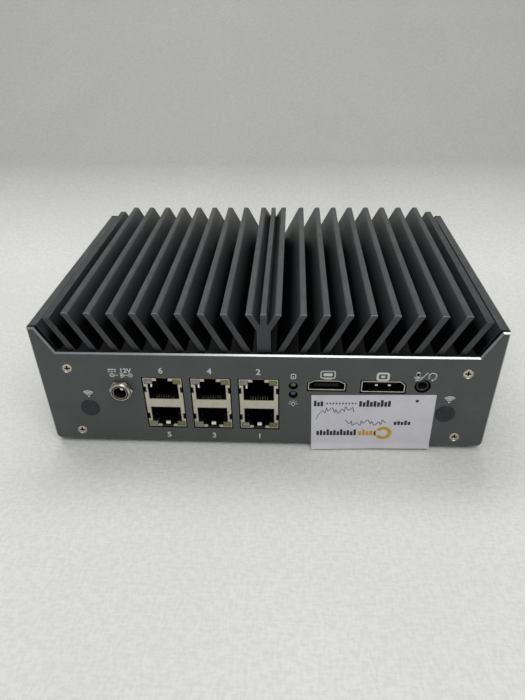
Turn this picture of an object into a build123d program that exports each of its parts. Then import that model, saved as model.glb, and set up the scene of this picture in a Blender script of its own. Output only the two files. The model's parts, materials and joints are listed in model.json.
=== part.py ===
from build123d import *
import os
from math import radians, tan

# A fanless firewall appliance. Its housing is one extrusion, a roof with leaning fins and two side
# walls, that runs from front to rear. A thick plate closes each end and a thin cover the underside.
# The mainboard hangs upside down from the roof, so that the sockets stand below it and the
# processor faces the fins.
#
# Lengths are in millimetres. X runs across the front panel, Y from the front panel to the rear
# panel, and Z up. The origin is on the table, under the middle of the case. Heights are measured
# from the case's lower edge, and depths from the outer face of the panel that a piece sits in.

# Case
case_width = 186.0
extrusion_length = 120.0
panel_thickness = 2.5
ear_rise = 11.5
fin_rise = 17.0
short_fin_drop = 2.4
foot_height = 2.5
foot_radius, foot_edge = 6.0, 0.7
foot_side_inset, foot_end_inset = 23.0, 13.0

# Extrusion section
fin_lean = tan(radians(27.5))
fin_width = 2.6
fin_pitch = 8.9
first_fin_x = 16.75
fin_edge = 0.35
wall_gap = 4.5
prong_x, prong_lean = 7.1, tan(radians(31))
centre_fin_width = 2.4
notch_floor = 0.3
trunk_width = 5.4
fin_floor_drop = 1.0
roof_thickness = 5.0
wall_thickness = 3.0
ear_flat = 3.2
rail_width = 13.4
rail_height = 8.6
corner_block_height = 5.4

# Panels and cover
ear_panel_flat = 3.0
ear_panel_root = 9.2
panel_corner = 2.5
panel_bevel = 0.6
cover_thickness = 1.5
cover_gap = 0.15
bracket_spacing = 75.0
bracket_hole_radius = 1.65
bracket_boss_radius = 3.6
bracket_boss_height = 2.5

# Screws
panel_screw_inset = 12.5
panel_screw_low = 5.4
panel_screw_radius = 1.0
panel_screw_head, panel_screw_ring = 2.0, 0.25
panel_screw_length = 10.0
cover_screw_inset = 9.5
cover_screw_end = 10.0
cover_screw_radius = 1.5
cover_screw_head = 2.8
cover_screw_length = 6.0
head_depth = 1.2
recess_depth = 0.8
# The cross recess's span and arm width, as shares of the head's radius.
recess_span, recess_arm = 1.3, 0.3
thread_gap = 0.05
hole_gap = 0.15

# Mainboard and what carries it
board_thickness = 1.6
board_inset = 5.0
board_side_gap = 18.0
board_screw_x = 70.0
board_screw_inset = 12.5
standoff_length = 4.4
standoff_flats = 5.5
standoff_stud = 4.0
standoff_socket = 3.6
board_screw_radius = 1.5
board_screw_reach = 3.2
pan_head_radius = 2.75
pan_head_height = 1.8

# Network sockets: a stack of two ports in one shield, and a single one at the rear
lan_width, lan_height, lan_depth = 16.2, 25.9, 28.0
lan_floor_gap = 4.1
lan_first_x, lan_spacing, lan_stacks = -42.1, 3.65, 3
console_x = 30.0
socket_recess = 0.2
socket_gap = 0.4
sheet = 0.35
piece_gap = 0.05
band_height = 4.6
plug_width, plug_height, plug_depth = 12.4, 7.65, 14.0
step_width, step_height = 8.6, 1.4
latch_width = 4.7
lamp_width, lamp_height, lamp_depth = 3.2, 2.3, 2.5
side_notch_width, side_notch_height, side_notch_depth = 0.9, 2.7, 6.0
side_notch_drop = 4.6
contact_count, contact_pitch, contact_width = 8, 1.02, 0.45
contact_start, contact_end, contact_rise = 1.0, 8.8, 2.4
comb_slot_width, comb_slot_height, comb_slot_depth = 0.6, 0.5, 5.0

# Inlet
inlet_x, inlet_drop = -59.6, 6.0
inlet_proud = 2.6
inlet_thread_radius = 3.8
inlet_bore_radius, inlet_bore_depth = 2.75, 11.6
inlet_pin_radius, inlet_pin_length = 1.05, 9.0
inlet_flange_lip, inlet_flange_thickness = 1.0, 1.5
inlet_body_side, inlet_body_depth = 9.0, 12.0
inlet_nut_wall, inlet_nut_thickness = 0.6, 1.4

# Video sockets
video_x = 25.3
video_width, video_height, video_depth = 15.0, 4.8, 11.5
video_slope_width, video_slope_height = 2.6, 1.4
video_tongue_width, video_tongue_height = 9.9, 1.7
video_tongue_low = 1.0
video_gap = 0.55
display_x = 48.0
display_width, display_height, display_depth = 17.5, 5.4, 13.0
display_corner = 1.8
display_tongue_width, display_tongue_height = 12.0, 1.6
display_tongue_low = 2.2
display_spring_x, display_spring_width, display_spring_height = 2.8, 1.6, 0.4
tongue_recess = 1.2
tongue_base = 2.5
shell_edge = 0.5

# Audio socket
audio_x, audio_drop = 63.6, 2.0
audio_nose_radius, audio_nose_gap, audio_bore_radius = 2.65, 0.6, 1.8
audio_body_width, audio_body_height, audio_body_depth = 6.6, 6.4, 10.5
audio_bore_depth, audio_edge = 13.0, 0.3

# Indicator lights
led_x = 11.8
disk_led_drop, power_led_drop = 2.7, 7.2
led_radius, led_length, led_recess = 1.75, 4.2, 0.3
led_gap, led_flange_lip, led_flange_length = 0.15, 0.4, 1.0
lead_width, lead_spacing = 0.5, 2.54
disk_lead_reach, power_lead_reach = 1.25, 2.5

# Antenna plugs
plug_inset, plug_centre_height = 18.3, 17.9
plug_stem_radius, plug_hole_gap = 3.2, 0.05
plug_head_lip, plug_head_height = 0.85, 0.9
plug_barb_lip, plug_barb_height = 0.5, 1.6
plug_dish_radius, plug_dish_depth = 2.4, 0.25

# Price label
label_width, label_height, label_thickness = 50.6, 28.9, 0.15
label_x, label_centre_height, label_tilt = 44.9, 12.8, 1.3

# Rear button
button_x, button_height = 62.0, 22.0
button_radius, button_length, button_proud = 4.5, 7.6, 2.6
button_travel = 1.5
button_slide_gap = 0.06
button_collar_height = 1.2
bushing_radius, bushing_wall = 6.0, 0.7
bushing_bezel_lip, bushing_bezel_height = 1.2, 1.5
bushing_floor = 2.0
body_gap = 0.3
bushing_nut_wall, bushing_nut_thickness = 1.5, 2.0
spring_length, spring_radius, spring_wire_radius, spring_turns = 8.0, 3.2, 0.25, 4
stop_radius = 2.2
terminal_width, terminal_thickness, terminal_length = 1.8, 0.5, 3.0
terminal_spacing = 5.0
button_edge = 0.4

# Rear data sockets
usb_first_x, usb_spacing, usb_stacks = -26.0, 6.8, 2
usb_width, usb_height, usb_depth = 13.2, 15.6, 17.5
usb_mouth_width, usb_mouth_height, usb_mouth_spacing = 12.5, 5.1, 7.6
usb_tongue_width, usb_tongue_height, usb_tongue_length = 11.1, 1.8, 9.0

# Inside
processor_x, processor_y = 8.0, 8.0
processor_side, processor_thickness = 24.0, 1.2
die_width, die_length, die_thickness = 12.0, 10.0, 0.7
pad_side, pad_thickness = 14.0, 0.5
heat_block_side = 50.0
inside_gap = 3.0
ssd_x, ssd_length, ssd_width, ssd_board = -66.0, 42.0, 22.0, 0.8
ssd_drop = 2.6
ssd_socket_length, ssd_socket_height, ssd_engagement = 8.0, 4.2, 4.0
ssd_chip_length, ssd_chip_width, ssd_chip_height = 14.0, 16.0, 1.2
ssd_chip_pitch = 16.0
ssd_post_radius, ssd_screw_head_radius, ssd_screw_head_height = 3.0, 2.75, 1.0
ssd_notch_radius = 1.8
memory_x, memory_width, memory_length, memory_board = 32.0, 69.6, 30.0, 1.2
memory_drop = 2.7
memory_socket_length, memory_socket_height, memory_engagement = 6.5, 5.0, 3.0
memory_arm_width, memory_arm_length = 3.0, 24.0
memory_chip_width, memory_chip_length, memory_chip_height = 8.0, 11.0, 1.0
memory_chips, memory_chip_pitch = 4, 16.0
cell_x, cell_radius, cell_height = -52.0, 10.0, 3.2
cell_holder_radius, cell_holder_height, cell_seat = 11.6, 3.6, 1.0
cell_edge = 0.4

# Heights and depths that follow
# The network stack is the tallest piece inside, so the case's height follows from it: the stack
# clears the bracket bosses on the bottom cover and hangs from the board below the roof.
half_width = case_width / 2
case_depth = extrusion_length + 2 * panel_thickness
board_under = cover_thickness + bracket_boss_height + lan_floor_gap + lan_height
board_top = board_under + board_thickness
roof_under = board_top + standoff_length
roof_top = roof_under + roof_thickness
trough_height = roof_top + fin_floor_drop
ear_height = trough_height + ear_rise
fin_height = trough_height + fin_rise
panel_screw_high = roof_under - 1.6
panel_screw_mouth = panel_screw_head + panel_screw_ring
lan_centre_height = board_under - lan_height / 2
inlet_height = board_under - inlet_drop
audio_height = board_under - audio_drop
board_length = case_depth - 2 * board_inset
board_width = case_width - 2 * board_side_gap
board_screw_y = case_depth / 2 - board_screw_inset
foot_x = half_width - foot_side_inset
foot_y = extrusion_length / 2 - foot_end_inset
cover_width = case_width - 2 * (wall_thickness + cover_gap)
cover_length = extrusion_length - 2 * cover_gap
front_y = -case_depth / 2
inside_front_y = front_y + socket_recess + lan_depth + inside_gap

front_face = Plane((0, front_y, foot_height), x_dir=(1, 0, 0), z_dir=(0, -1, 0))
rear_face = Plane((0, -front_y, foot_height), x_dir=(-1, 0, 0), z_dir=(0, 1, 0))
under_face = Plane((0, 0, foot_height), x_dir=(1, 0, 0), z_dir=(0, 0, -1))
board_face = Plane((0, 0, foot_height + board_under), x_dir=(1, 0, 0), z_dir=(0, 0, -1))

panel_screw_points = [
    (side * (half_width - panel_screw_inset), height)
    for side in (-1, 1)
    for height in (panel_screw_low, panel_screw_high)
]
cover_screw_points = [
    (x, y)
    for x in (cover_screw_inset - half_width, half_width - cover_screw_inset)
    for y in (cover_screw_end - extrusion_length / 2, extrusion_length / 2 - cover_screw_end)
]
board_screw_points = [
    (x, y) for x in (-board_screw_x, board_screw_x) for y in (-board_screw_y, board_screw_y)
]
antenna_points = [(side * (half_width - plug_inset), plug_centre_height) for side in (-1, 1)]
lan_centres = [lan_first_x + index * (lan_width + lan_spacing) for index in range(lan_stacks)]
usb_centres = [usb_first_x + index * (usb_width + usb_spacing) for index in range(usb_stacks)]

TOP = (Align.CENTER, Align.CENTER, Align.MAX)
BASE = (Align.CENTER, Align.CENTER, Align.MIN)

os.makedirs("parts", exist_ok=True)


def at(face, across, up, depth=0.0):
    """A place on a face: across and up in the face's own plane, and depth behind it."""
    return face.location * Location((across, up, -depth))


def leaning_fin(top_x, height):
    """Corners of a fin that leans away from the middle, from inside the roof to its top."""
    foot = roof_top - fin_floor_drop
    shift = (height - foot) * fin_lean
    return [
        (top_x - fin_width - shift, foot),
        (top_x - shift, foot),
        (top_x, height),
        (top_x - fin_width, height),
    ]


def panel_plate(face):
    """The plate that closes one end: level in the middle, with an ear over each side wall."""
    ear_top = half_width - ear_panel_flat
    ear_root = half_width - ear_panel_root
    with BuildSketch(face) as outline:
        Polygon(
            (-half_width, 0),
            (half_width, 0),
            (half_width, ear_height),
            (ear_top, ear_height),
            (ear_root, trough_height),
            (-ear_root, trough_height),
            (-ear_top, ear_height),
            (-half_width, ear_height),
            align=None,
        )
        fillet(outline.vertices().group_by(Axis.Y)[0], panel_corner)
    extrude(outline.sketch, amount=-panel_thickness)


def flat_head_holes(face, points, radius, head):
    """Holes for flat-head screws, through the plate behind the face: head is the mouth's radius."""
    with Locations(*[at(face, x, y) for x, y in points]):
        CounterSinkHole(radius + hole_gap, head)


def flat_head_screws(face, points, radius, head, length):
    """Flat-head screws with a cross recess, their heads flush with the face."""
    with Locations(*[at(face, x, y) for x, y in points]):
        Cylinder(radius, length, align=TOP)
        Cone(radius, head, head_depth, align=TOP)
    with BuildSketch(*[Plane(at(face, x, y)) for x, y in points]) as profile:
        Rectangle(recess_span * head, recess_arm * head)
        Rectangle(recess_arm * head, recess_span * head)
    extrude(profile.sketch, amount=-recess_depth, mode=Mode.SUBTRACT)


def video_outline():
    """Mouth of the first video socket: its upper corners slope in towards the board."""
    half = video_width / 2
    Polygon(
        (-half, 0),
        (half, 0),
        (half, video_height - video_slope_height),
        (half - video_slope_width, video_height),
        (video_slope_width - half, video_height),
        (-half, video_height - video_slope_height),
        align=None,
    )


def display_outline():
    """Mouth of the second video socket: one corner is cut so that the plug fits one way."""
    half = display_width / 2
    Polygon(
        (-half, 0),
        (half, 0),
        (half, display_height - display_corner),
        (half - display_corner, display_height),
        (-half, display_height),
        align=None,
    )


def stack_outline(tiers):
    """Outline of a network socket's shield, one half for each tier."""
    for tier in tiers:
        Rectangle(lan_width, lan_height / 2, align=(Align.CENTER, Align.MIN if tier > 0 else Align.MAX))


def port_mouths(tiers):
    """Each port's mouth: the plug's width, a narrower step, and the slot for the latch."""
    shoulder = band_height / 2 + plug_height
    for tier in tiers:
        with Locations((0, tier * (band_height + plug_height) / 2)):
            Rectangle(plug_width, plug_height)
        with Locations((0, tier * (shoulder + step_height / 2))):
            Rectangle(step_width, step_height)
        with Locations((0, tier * (shoulder + lan_height / 2) / 2)):
            Rectangle(latch_width, lan_height / 2 - shoulder)


def lamp_windows(tiers, sides, trim=0.0):
    """The windows for the port lights, in the corners beside each latch slot."""
    for tier in tiers:
        for side in sides:
            across = side * (step_width + lamp_width) / 2
            up = tier * (band_height / 2 + plug_height + lamp_height / 2)
            with Locations((across, up)):
                Rectangle(lamp_width - 2 * trim, lamp_height - 2 * trim)


def contact_columns():
    """Distances of the contacts from the middle of a port."""
    first = -(contact_count - 1) / 2 * contact_pitch
    return [first + index * contact_pitch for index in range(contact_count)]


def network_shield(face, tiers):
    """Folded sheet around the ports, with notches where its spring fingers are pressed out."""
    with BuildSketch(face) as profile:
        stack_outline(tiers)
    extrude(profile.sketch, amount=-lan_depth)
    with BuildSketch(face.offset(-sheet)) as profile:
        stack_outline(tiers)
        offset(amount=-sheet, kind=Kind.INTERSECTION)
    extrude(profile.sketch, amount=-lan_depth, mode=Mode.SUBTRACT)
    with BuildSketch(face) as profile:
        port_mouths(tiers)
        lamp_windows(tiers, (-1, 1))
    extrude(profile.sketch, amount=-sheet, mode=Mode.SUBTRACT)
    notch_up = lan_height / 2 - side_notch_drop - side_notch_height / 2
    notch_across = (lan_width - side_notch_width) / 2
    with BuildSketch(face) as profile:
        with Locations(*[(side * notch_across, tier * notch_up) for side in (-1, 1) for tier in tiers]):
            Rectangle(side_notch_width, side_notch_height)
    extrude(profile.sketch, amount=-side_notch_depth, mode=Mode.SUBTRACT)


def network_insert(face, tiers):
    """Moulded block inside the shield: plug cavities, pockets for lights, and contact combs."""
    start = face.offset(-sheet)
    with BuildSketch(start) as profile:
        stack_outline(tiers)
        offset(amount=-(sheet + piece_gap), kind=Kind.INTERSECTION)
    extrude(profile.sketch, amount=-(lan_depth - sheet))
    with BuildSketch(start) as profile:
        port_mouths(tiers)
    extrude(profile.sketch, amount=-plug_depth, mode=Mode.SUBTRACT)
    with BuildSketch(start) as profile:
        lamp_windows(tiers, (-1, 1))
    extrude(profile.sketch, amount=-lamp_depth, mode=Mode.SUBTRACT)
    with BuildSketch(start) as profile:
        for tier in tiers:
            with Locations(*[(x, tier * (band_height - comb_slot_height) / 2) for x in contact_columns()]):
                Rectangle(comb_slot_width, comb_slot_height)
    extrude(profile.sketch, amount=-comb_slot_depth, mode=Mode.SUBTRACT)


def network_contacts(face, tiers):
    """Spring contacts that rise from the comb towards the back of each plug cavity."""
    low = band_height / 2 - comb_slot_height + piece_gap
    high = band_height / 2 + contact_rise
    outline = [
        (contact_start, low),
        (contact_start + contact_width, low),
        (contact_end, high - contact_width),
        (contact_end, high),
        (contact_start, low + contact_width),
    ]
    planes = [
        Plane(at(face, x, 0).position, x_dir=-face.z_dir, z_dir=face.x_dir) for x in contact_columns()
    ]
    for tier in tiers:
        with BuildSketch(*planes) as profile:
            Polygon(*[(depth, tier * up) for depth, up in outline], align=None)
        extrude(profile.sketch, amount=contact_width / 2, both=True)


def network_lamps(face, tiers, side):
    """Light lenses on one side of a socket, one in the corner of each port."""
    with BuildSketch(face.offset(-piece_gap)) as profile:
        lamp_windows(tiers, (side,), trim=piece_gap)
    extrude(profile.sketch, amount=-lamp_depth)


def indicator_light(height, reach):
    """A domed light behind its hole, with two leads that run back by the reach and up to the board."""
    back = led_recess + led_radius + led_length
    with Locations(at(front_face, led_x, height, led_recess + led_radius)):
        Sphere(led_radius)
        Cylinder(led_radius, led_length, align=TOP)
    with Locations(at(front_face, led_x, height, back)):
        Cylinder(led_radius + led_flange_lip, led_flange_length, align=BASE)
    for side in (-1, 1):
        with Locations(at(front_face, led_x + side * lead_spacing / 2, height, back)):
            Box(lead_width, lead_width, reach, align=TOP)
        with Locations(at(front_face, led_x + side * lead_spacing / 2, height, back + reach)):
            Box(lead_width, board_under - height, lead_width, align=(Align.CENTER, Align.MIN, Align.MIN))


# ---------------------------------------------------------------- case

with BuildPart() as heatsink_housing:
    with BuildSketch(front_face.offset(-panel_thickness)):
        wall_root = half_width - ear_flat - (ear_height - roof_top) * fin_lean
        Polygon(
            (half_width - wall_thickness, 0),
            (half_width, 0),
            (half_width, ear_height),
            (half_width - ear_flat, ear_height),
            (wall_root, roof_top),
            (wall_root, roof_under),
            (half_width - wall_thickness, roof_under),
            align=None,
        )
        with Locations((0, roof_under)):
            Rectangle(wall_root, roof_thickness, align=(Align.MIN, Align.MIN))
        with Locations((half_width - wall_thickness, cover_thickness)):
            Rectangle(rail_width, rail_height - cover_thickness, align=(Align.MAX, Align.MIN))
        with Locations((half_width - wall_thickness, roof_under)):
            Rectangle(rail_width, corner_block_height, align=(Align.MAX, Align.MAX))
        fin_count = int((half_width - wall_gap - first_fin_x) / fin_pitch) + 1
        for index in range(fin_count):
            drop = short_fin_drop if index == fin_count - 1 else 0
            top_x = first_fin_x + index * fin_pitch - drop * fin_lean
            Polygon(*leaning_fin(top_x, fin_height - drop), align=None)
        # The side prong leaves the trunk where its outer face meets the trunk's side, and a narrow
        # flat floor lies between its foot and the centre fin.
        fork_height = fin_height - (prong_x - trunk_width / 2) / prong_lean
        notch_x = centre_fin_width / 2 + notch_floor
        notch_height = fin_height - (prong_x - fin_width - notch_x) / prong_lean
        Polygon(
            (0, roof_top),
            (trunk_width / 2, roof_top),
            (trunk_width / 2, fork_height),
            (prong_x, fin_height),
            (prong_x - fin_width, fin_height),
            (notch_x, notch_height),
            (0, notch_height),
            align=None,
        )
        with Locations((0, roof_top)):
            Rectangle(centre_fin_width / 2, fin_height - roof_top, align=(Align.MIN, Align.MIN))
        mirror(about=Plane.YZ)
    extrude(amount=-extrusion_length)
    chamfer(heatsink_housing.edges().filter_by(Axis.Y).group_by(Axis.Z)[-1], fin_edge)
    ends = [front_face.offset(-panel_thickness), rear_face.offset(-panel_thickness)]
    with Locations(*[at(end, x, y) for end in ends for x, y in panel_screw_points]):
        Hole(panel_screw_radius + thread_gap, panel_screw_length)
    with Locations(*[at(under_face, x, y, cover_thickness) for x, y in cover_screw_points]):
        Hole(cover_screw_radius + thread_gap, cover_screw_length)
    with Locations(*[at(under_face, x, y, roof_under) for x, y in board_screw_points]):
        Hole(board_screw_radius + thread_gap, standoff_stud + hole_gap)
heatsink_housing.part.label = "heatsink_housing"
export_step(heatsink_housing.part, "parts/heatsink_housing.step")

with BuildPart() as front_panel:
    panel_plate(front_face)
    chamfer(front_panel.faces().sort_by(Axis.Y)[0].edges(), panel_bevel)
    with BuildSketch(front_face):
        with Locations(*[(x, lan_centre_height) for x in lan_centres]):
            Rectangle(lan_width + 2 * socket_gap, lan_height + 2 * socket_gap)
        with Locations((inlet_x, inlet_height)):
            Circle(inlet_thread_radius + hole_gap)
        with Locations(*antenna_points):
            Circle(plug_stem_radius + plug_hole_gap)
        with Locations((led_x, board_under - disk_led_drop), (led_x, board_under - power_led_drop)):
            Circle(led_radius + led_gap)
        with Locations((audio_x, audio_height)):
            Circle(audio_nose_radius + audio_nose_gap)
    extrude(amount=-panel_thickness, mode=Mode.SUBTRACT)
    with BuildSketch(Plane(at(front_face, video_x, board_under - video_height))):
        video_outline()
        offset(amount=video_gap, kind=Kind.INTERSECTION)
    extrude(amount=-panel_thickness, mode=Mode.SUBTRACT)
    with BuildSketch(Plane(at(front_face, display_x, board_under - display_height))):
        display_outline()
        offset(amount=video_gap, kind=Kind.INTERSECTION)
    extrude(amount=-panel_thickness, mode=Mode.SUBTRACT)
    flat_head_holes(front_face, panel_screw_points, panel_screw_radius, panel_screw_mouth)
front_panel.part.label = "front_panel"
export_step(front_panel.part, "parts/front_panel.step")

with BuildPart() as rear_panel:
    panel_plate(rear_face)
    chamfer(rear_panel.faces().sort_by(Axis.Y)[-1].edges(), panel_bevel)
    with BuildSketch(rear_face):
        with Locations((console_x, board_under)):
            Rectangle(
                lan_width + 2 * socket_gap,
                lan_height / 2 + socket_gap,
                align=(Align.CENTER, Align.MAX),
            )
            Rectangle(lan_width + 2 * socket_gap, socket_gap, align=(Align.CENTER, Align.MIN))
        with Locations(*[(x, board_under - usb_height / 2) for x in usb_centres]):
            Rectangle(usb_width + 2 * socket_gap, usb_height + 2 * socket_gap)
        with Locations((button_x, button_height)):
            Circle(bushing_radius + hole_gap)
    extrude(amount=-panel_thickness, mode=Mode.SUBTRACT)
    flat_head_holes(rear_face, panel_screw_points, panel_screw_radius, panel_screw_mouth)
rear_panel.part.label = "rear_panel"
export_step(rear_panel.part, "parts/rear_panel.step")

with BuildPart() as bottom_cover:
    with BuildSketch(under_face):
        Rectangle(cover_width, cover_length)
    extrude(amount=-cover_thickness)
    with Locations(at(under_face, 0, 0, cover_thickness)):
        with GridLocations(bracket_spacing, bracket_spacing, 2, 2):
            Cylinder(bracket_boss_radius, bracket_boss_height, align=TOP)
    with Locations(under_face):
        with GridLocations(bracket_spacing, bracket_spacing, 2, 2):
            Hole(bracket_hole_radius, cover_thickness + bracket_boss_height)
    flat_head_holes(under_face, cover_screw_points, cover_screw_radius, cover_screw_head + hole_gap)
bottom_cover.part.label = "bottom_cover"
export_step(bottom_cover.part, "parts/bottom_cover.step")

with BuildPart() as front_panel_screws:
    flat_head_screws(
        front_face, panel_screw_points, panel_screw_radius, panel_screw_head, panel_screw_length
    )
front_panel_screws.part.label = "front_panel_screws"
export_step(front_panel_screws.part, "parts/front_panel_screws.step")

with BuildPart() as rear_panel_screws:
    flat_head_screws(
        rear_face, panel_screw_points, panel_screw_radius, panel_screw_head, panel_screw_length
    )
rear_panel_screws.part.label = "rear_panel_screws"
export_step(rear_panel_screws.part, "parts/rear_panel_screws.step")

with BuildPart() as bottom_cover_screws:
    flat_head_screws(
        under_face, cover_screw_points, cover_screw_radius, cover_screw_head, cover_screw_length
    )
bottom_cover_screws.part.label = "bottom_cover_screws"
export_step(bottom_cover_screws.part, "parts/bottom_cover_screws.step")

with BuildPart() as rubber_feet:
    with Locations(under_face):
        with GridLocations(2 * foot_x, 2 * foot_y, 2, 2):
            Cylinder(foot_radius, foot_height, align=BASE)
    fillet(rubber_feet.faces().group_by(Axis.Z)[0].edges(), foot_edge)
rubber_feet.part.label = "rubber_feet"
export_step(rubber_feet.part, "parts/rubber_feet.step")

with BuildPart() as antenna_plugs:
    with Locations(*[at(front_face, x, y) for x, y in antenna_points]):
        Cylinder(plug_stem_radius + plug_head_lip, plug_head_height, align=BASE)
    fillet(antenna_plugs.faces().group_by(Axis.Y)[0].edges(), plug_head_height / 2)
    with Locations(*[at(front_face, x, y, -plug_head_height) for x, y in antenna_points]):
        Hole(plug_dish_radius, plug_dish_depth)
    with Locations(*[at(front_face, x, y) for x, y in antenna_points]):
        Cylinder(plug_stem_radius, panel_thickness, align=TOP)
    with Locations(*[at(front_face, x, y, panel_thickness) for x, y in antenna_points]):
        Cone(plug_stem_radius, plug_stem_radius + plug_barb_lip, plug_barb_height, align=TOP)
antenna_plugs.part.label = "antenna_plugs"
export_step(antenna_plugs.part, "parts/antenna_plugs.step")

with BuildPart() as paper_label:
    with BuildSketch(Plane(at(front_face, label_x, label_centre_height))):
        Rectangle(label_width, label_height, rotation=label_tilt)
    extrude(amount=label_thickness)
paper_label.part.label = "paper_label"
export_step(paper_label.part, "parts/paper_label.step")

# ---------------------------------------------------------------- inlet

with BuildPart() as inlet_body:
    with Locations(at(front_face, inlet_x, inlet_height, -inlet_proud)):
        Cylinder(inlet_thread_radius, inlet_proud + panel_thickness, align=TOP)
    with Locations(at(front_face, inlet_x, inlet_height, panel_thickness)):
        Cylinder(inlet_thread_radius + inlet_flange_lip, inlet_flange_thickness, align=TOP)
        Box(inlet_body_side, inlet_body_side, inlet_body_depth, align=TOP)
    with Locations(at(front_face, inlet_x, inlet_height, -inlet_proud)):
        Hole(inlet_bore_radius, inlet_bore_depth)
        Hole(inlet_pin_radius, inlet_bore_depth + inlet_pin_radius)
inlet_body.part.label = "inlet_body"
export_step(inlet_body.part, "parts/inlet_body.step")

with BuildPart() as inlet_nut:
    with BuildSketch(Plane(at(front_face, inlet_x, inlet_height))):
        RegularPolygon(inlet_thread_radius + inlet_nut_wall, 6, major_radius=False)
        Circle(inlet_thread_radius + thread_gap, mode=Mode.SUBTRACT)
    extrude(amount=inlet_nut_thickness)
inlet_nut.part.label = "inlet_nut"
export_step(inlet_nut.part, "parts/inlet_nut.step")

with BuildPart() as inlet_pin:
    pin_root = inlet_bore_depth - inlet_proud + inlet_pin_radius
    with Locations(at(front_face, inlet_x, inlet_height, pin_root)):
        Cylinder(inlet_pin_radius, inlet_pin_length + inlet_pin_radius, align=BASE)
    fillet(inlet_pin.faces().sort_by(Axis.Y)[0].edges(), inlet_pin_radius / 2)
inlet_pin.part.label = "inlet_pin"
export_step(inlet_pin.part, "parts/inlet_pin.step")

# ---------------------------------------------------------------- network sockets

for index, centre in enumerate(lan_centres, start=1):
    stack_face = Plane(at(front_face, centre, lan_centre_height, socket_recess))

    with BuildPart() as lan_shield:
        network_shield(stack_face, (1, -1))
    lan_shield.part.label = f"lan_shield_{index}"
    export_step(lan_shield.part, f"parts/lan_shield_{index}.step")

    with BuildPart() as lan_insert:
        network_insert(stack_face, (1, -1))
    lan_insert.part.label = f"lan_insert_{index}"
    export_step(lan_insert.part, f"parts/lan_insert_{index}.step")

    with BuildPart() as lan_contacts:
        network_contacts(stack_face, (1, -1))
    lan_contacts.part.label = f"lan_contacts_{index}"
    export_step(lan_contacts.part, f"parts/lan_contacts_{index}.step")

    with BuildPart() as lan_link_lights:
        network_lamps(stack_face, (1, -1), -1)
    lan_link_lights.part.label = f"lan_link_lights_{index}"
    export_step(lan_link_lights.part, f"parts/lan_link_lights_{index}.step")

    with BuildPart() as lan_activity_lights:
        network_lamps(stack_face, (1, -1), 1)
    lan_activity_lights.part.label = f"lan_activity_lights_{index}"
    export_step(lan_activity_lights.part, f"parts/lan_activity_lights_{index}.step")

console_face = Plane(at(rear_face, console_x, lan_centre_height, socket_recess))

with BuildPart() as console_shield:
    network_shield(console_face, (1,))
console_shield.part.label = "console_shield"
export_step(console_shield.part, "parts/console_shield.step")

with BuildPart() as console_insert:
    network_insert(console_face, (1,))
console_insert.part.label = "console_insert"
export_step(console_insert.part, "parts/console_insert.step")

with BuildPart() as console_contacts:
    network_contacts(console_face, (1,))
console_contacts.part.label = "console_contacts"
export_step(console_contacts.part, "parts/console_contacts.step")

with BuildPart() as console_lights:
    network_lamps(console_face, (1,), -1)
    network_lamps(console_face, (1,), 1)
console_lights.part.label = "console_lights"
export_step(console_lights.part, "parts/console_lights.step")

# ---------------------------------------------------------------- video and audio sockets

video_face = Plane(at(front_face, video_x, board_under - video_height, socket_recess))

with BuildPart() as video_socket_shell:
    with BuildSketch(video_face) as mouth:
        video_outline()
        fillet(mouth.vertices(), shell_edge)
    extrude(amount=-video_depth)
    with BuildSketch(video_face):
        video_outline()
        offset(amount=-sheet, kind=Kind.INTERSECTION)
    extrude(amount=-(video_depth - sheet), mode=Mode.SUBTRACT)
video_socket_shell.part.label = "video_socket_shell"
export_step(video_socket_shell.part, "parts/video_socket_shell.step")

with BuildPart() as video_socket_tongue:
    with BuildSketch(video_face.offset(-(video_depth - sheet - tongue_base))):
        video_outline()
        offset(amount=-(sheet + piece_gap), kind=Kind.INTERSECTION)
    extrude(amount=-tongue_base)
    with BuildSketch(video_face.offset(-tongue_recess)):
        with Locations((0, video_tongue_low + video_tongue_height / 2)):
            Rectangle(video_tongue_width, video_tongue_height)
    extrude(amount=-(video_depth - sheet - tongue_recess))
video_socket_tongue.part.label = "video_socket_tongue"
export_step(video_socket_tongue.part, "parts/video_socket_tongue.step")

display_face = Plane(at(front_face, display_x, board_under - display_height, socket_recess))

with BuildPart() as display_socket_shell:
    with BuildSketch(display_face) as mouth:
        display_outline()
        fillet(mouth.vertices(), shell_edge)
    extrude(amount=-display_depth)
    with BuildSketch(display_face):
        display_outline()
        offset(amount=-sheet, kind=Kind.INTERSECTION)
    extrude(amount=-(display_depth - sheet), mode=Mode.SUBTRACT)
    # Two spring fingers stand up from the lower wall and grip the plug.
    with BuildSketch(display_face.offset(-tongue_recess)):
        with Locations((-display_spring_x, sheet), (display_spring_x, sheet)):
            Rectangle(display_spring_width, display_spring_height, align=(Align.CENTER, Align.MIN))
    extrude(amount=-2 * display_spring_width)
display_socket_shell.part.label = "display_socket_shell"
export_step(display_socket_shell.part, "parts/display_socket_shell.step")

with BuildPart() as display_socket_tongue:
    with BuildSketch(display_face.offset(-(display_depth - sheet - tongue_base))):
        display_outline()
        offset(amount=-(sheet + piece_gap), kind=Kind.INTERSECTION)
    extrude(amount=-tongue_base)
    with BuildSketch(display_face.offset(-2 * tongue_recess)):
        with Locations((0, display_tongue_low + display_tongue_height / 2)):
            Rectangle(display_tongue_width, display_tongue_height)
    extrude(amount=-(display_depth - sheet - 2 * tongue_recess))
display_socket_tongue.part.label = "display_socket_tongue"
export_step(display_socket_tongue.part, "parts/display_socket_tongue.step")

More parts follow.
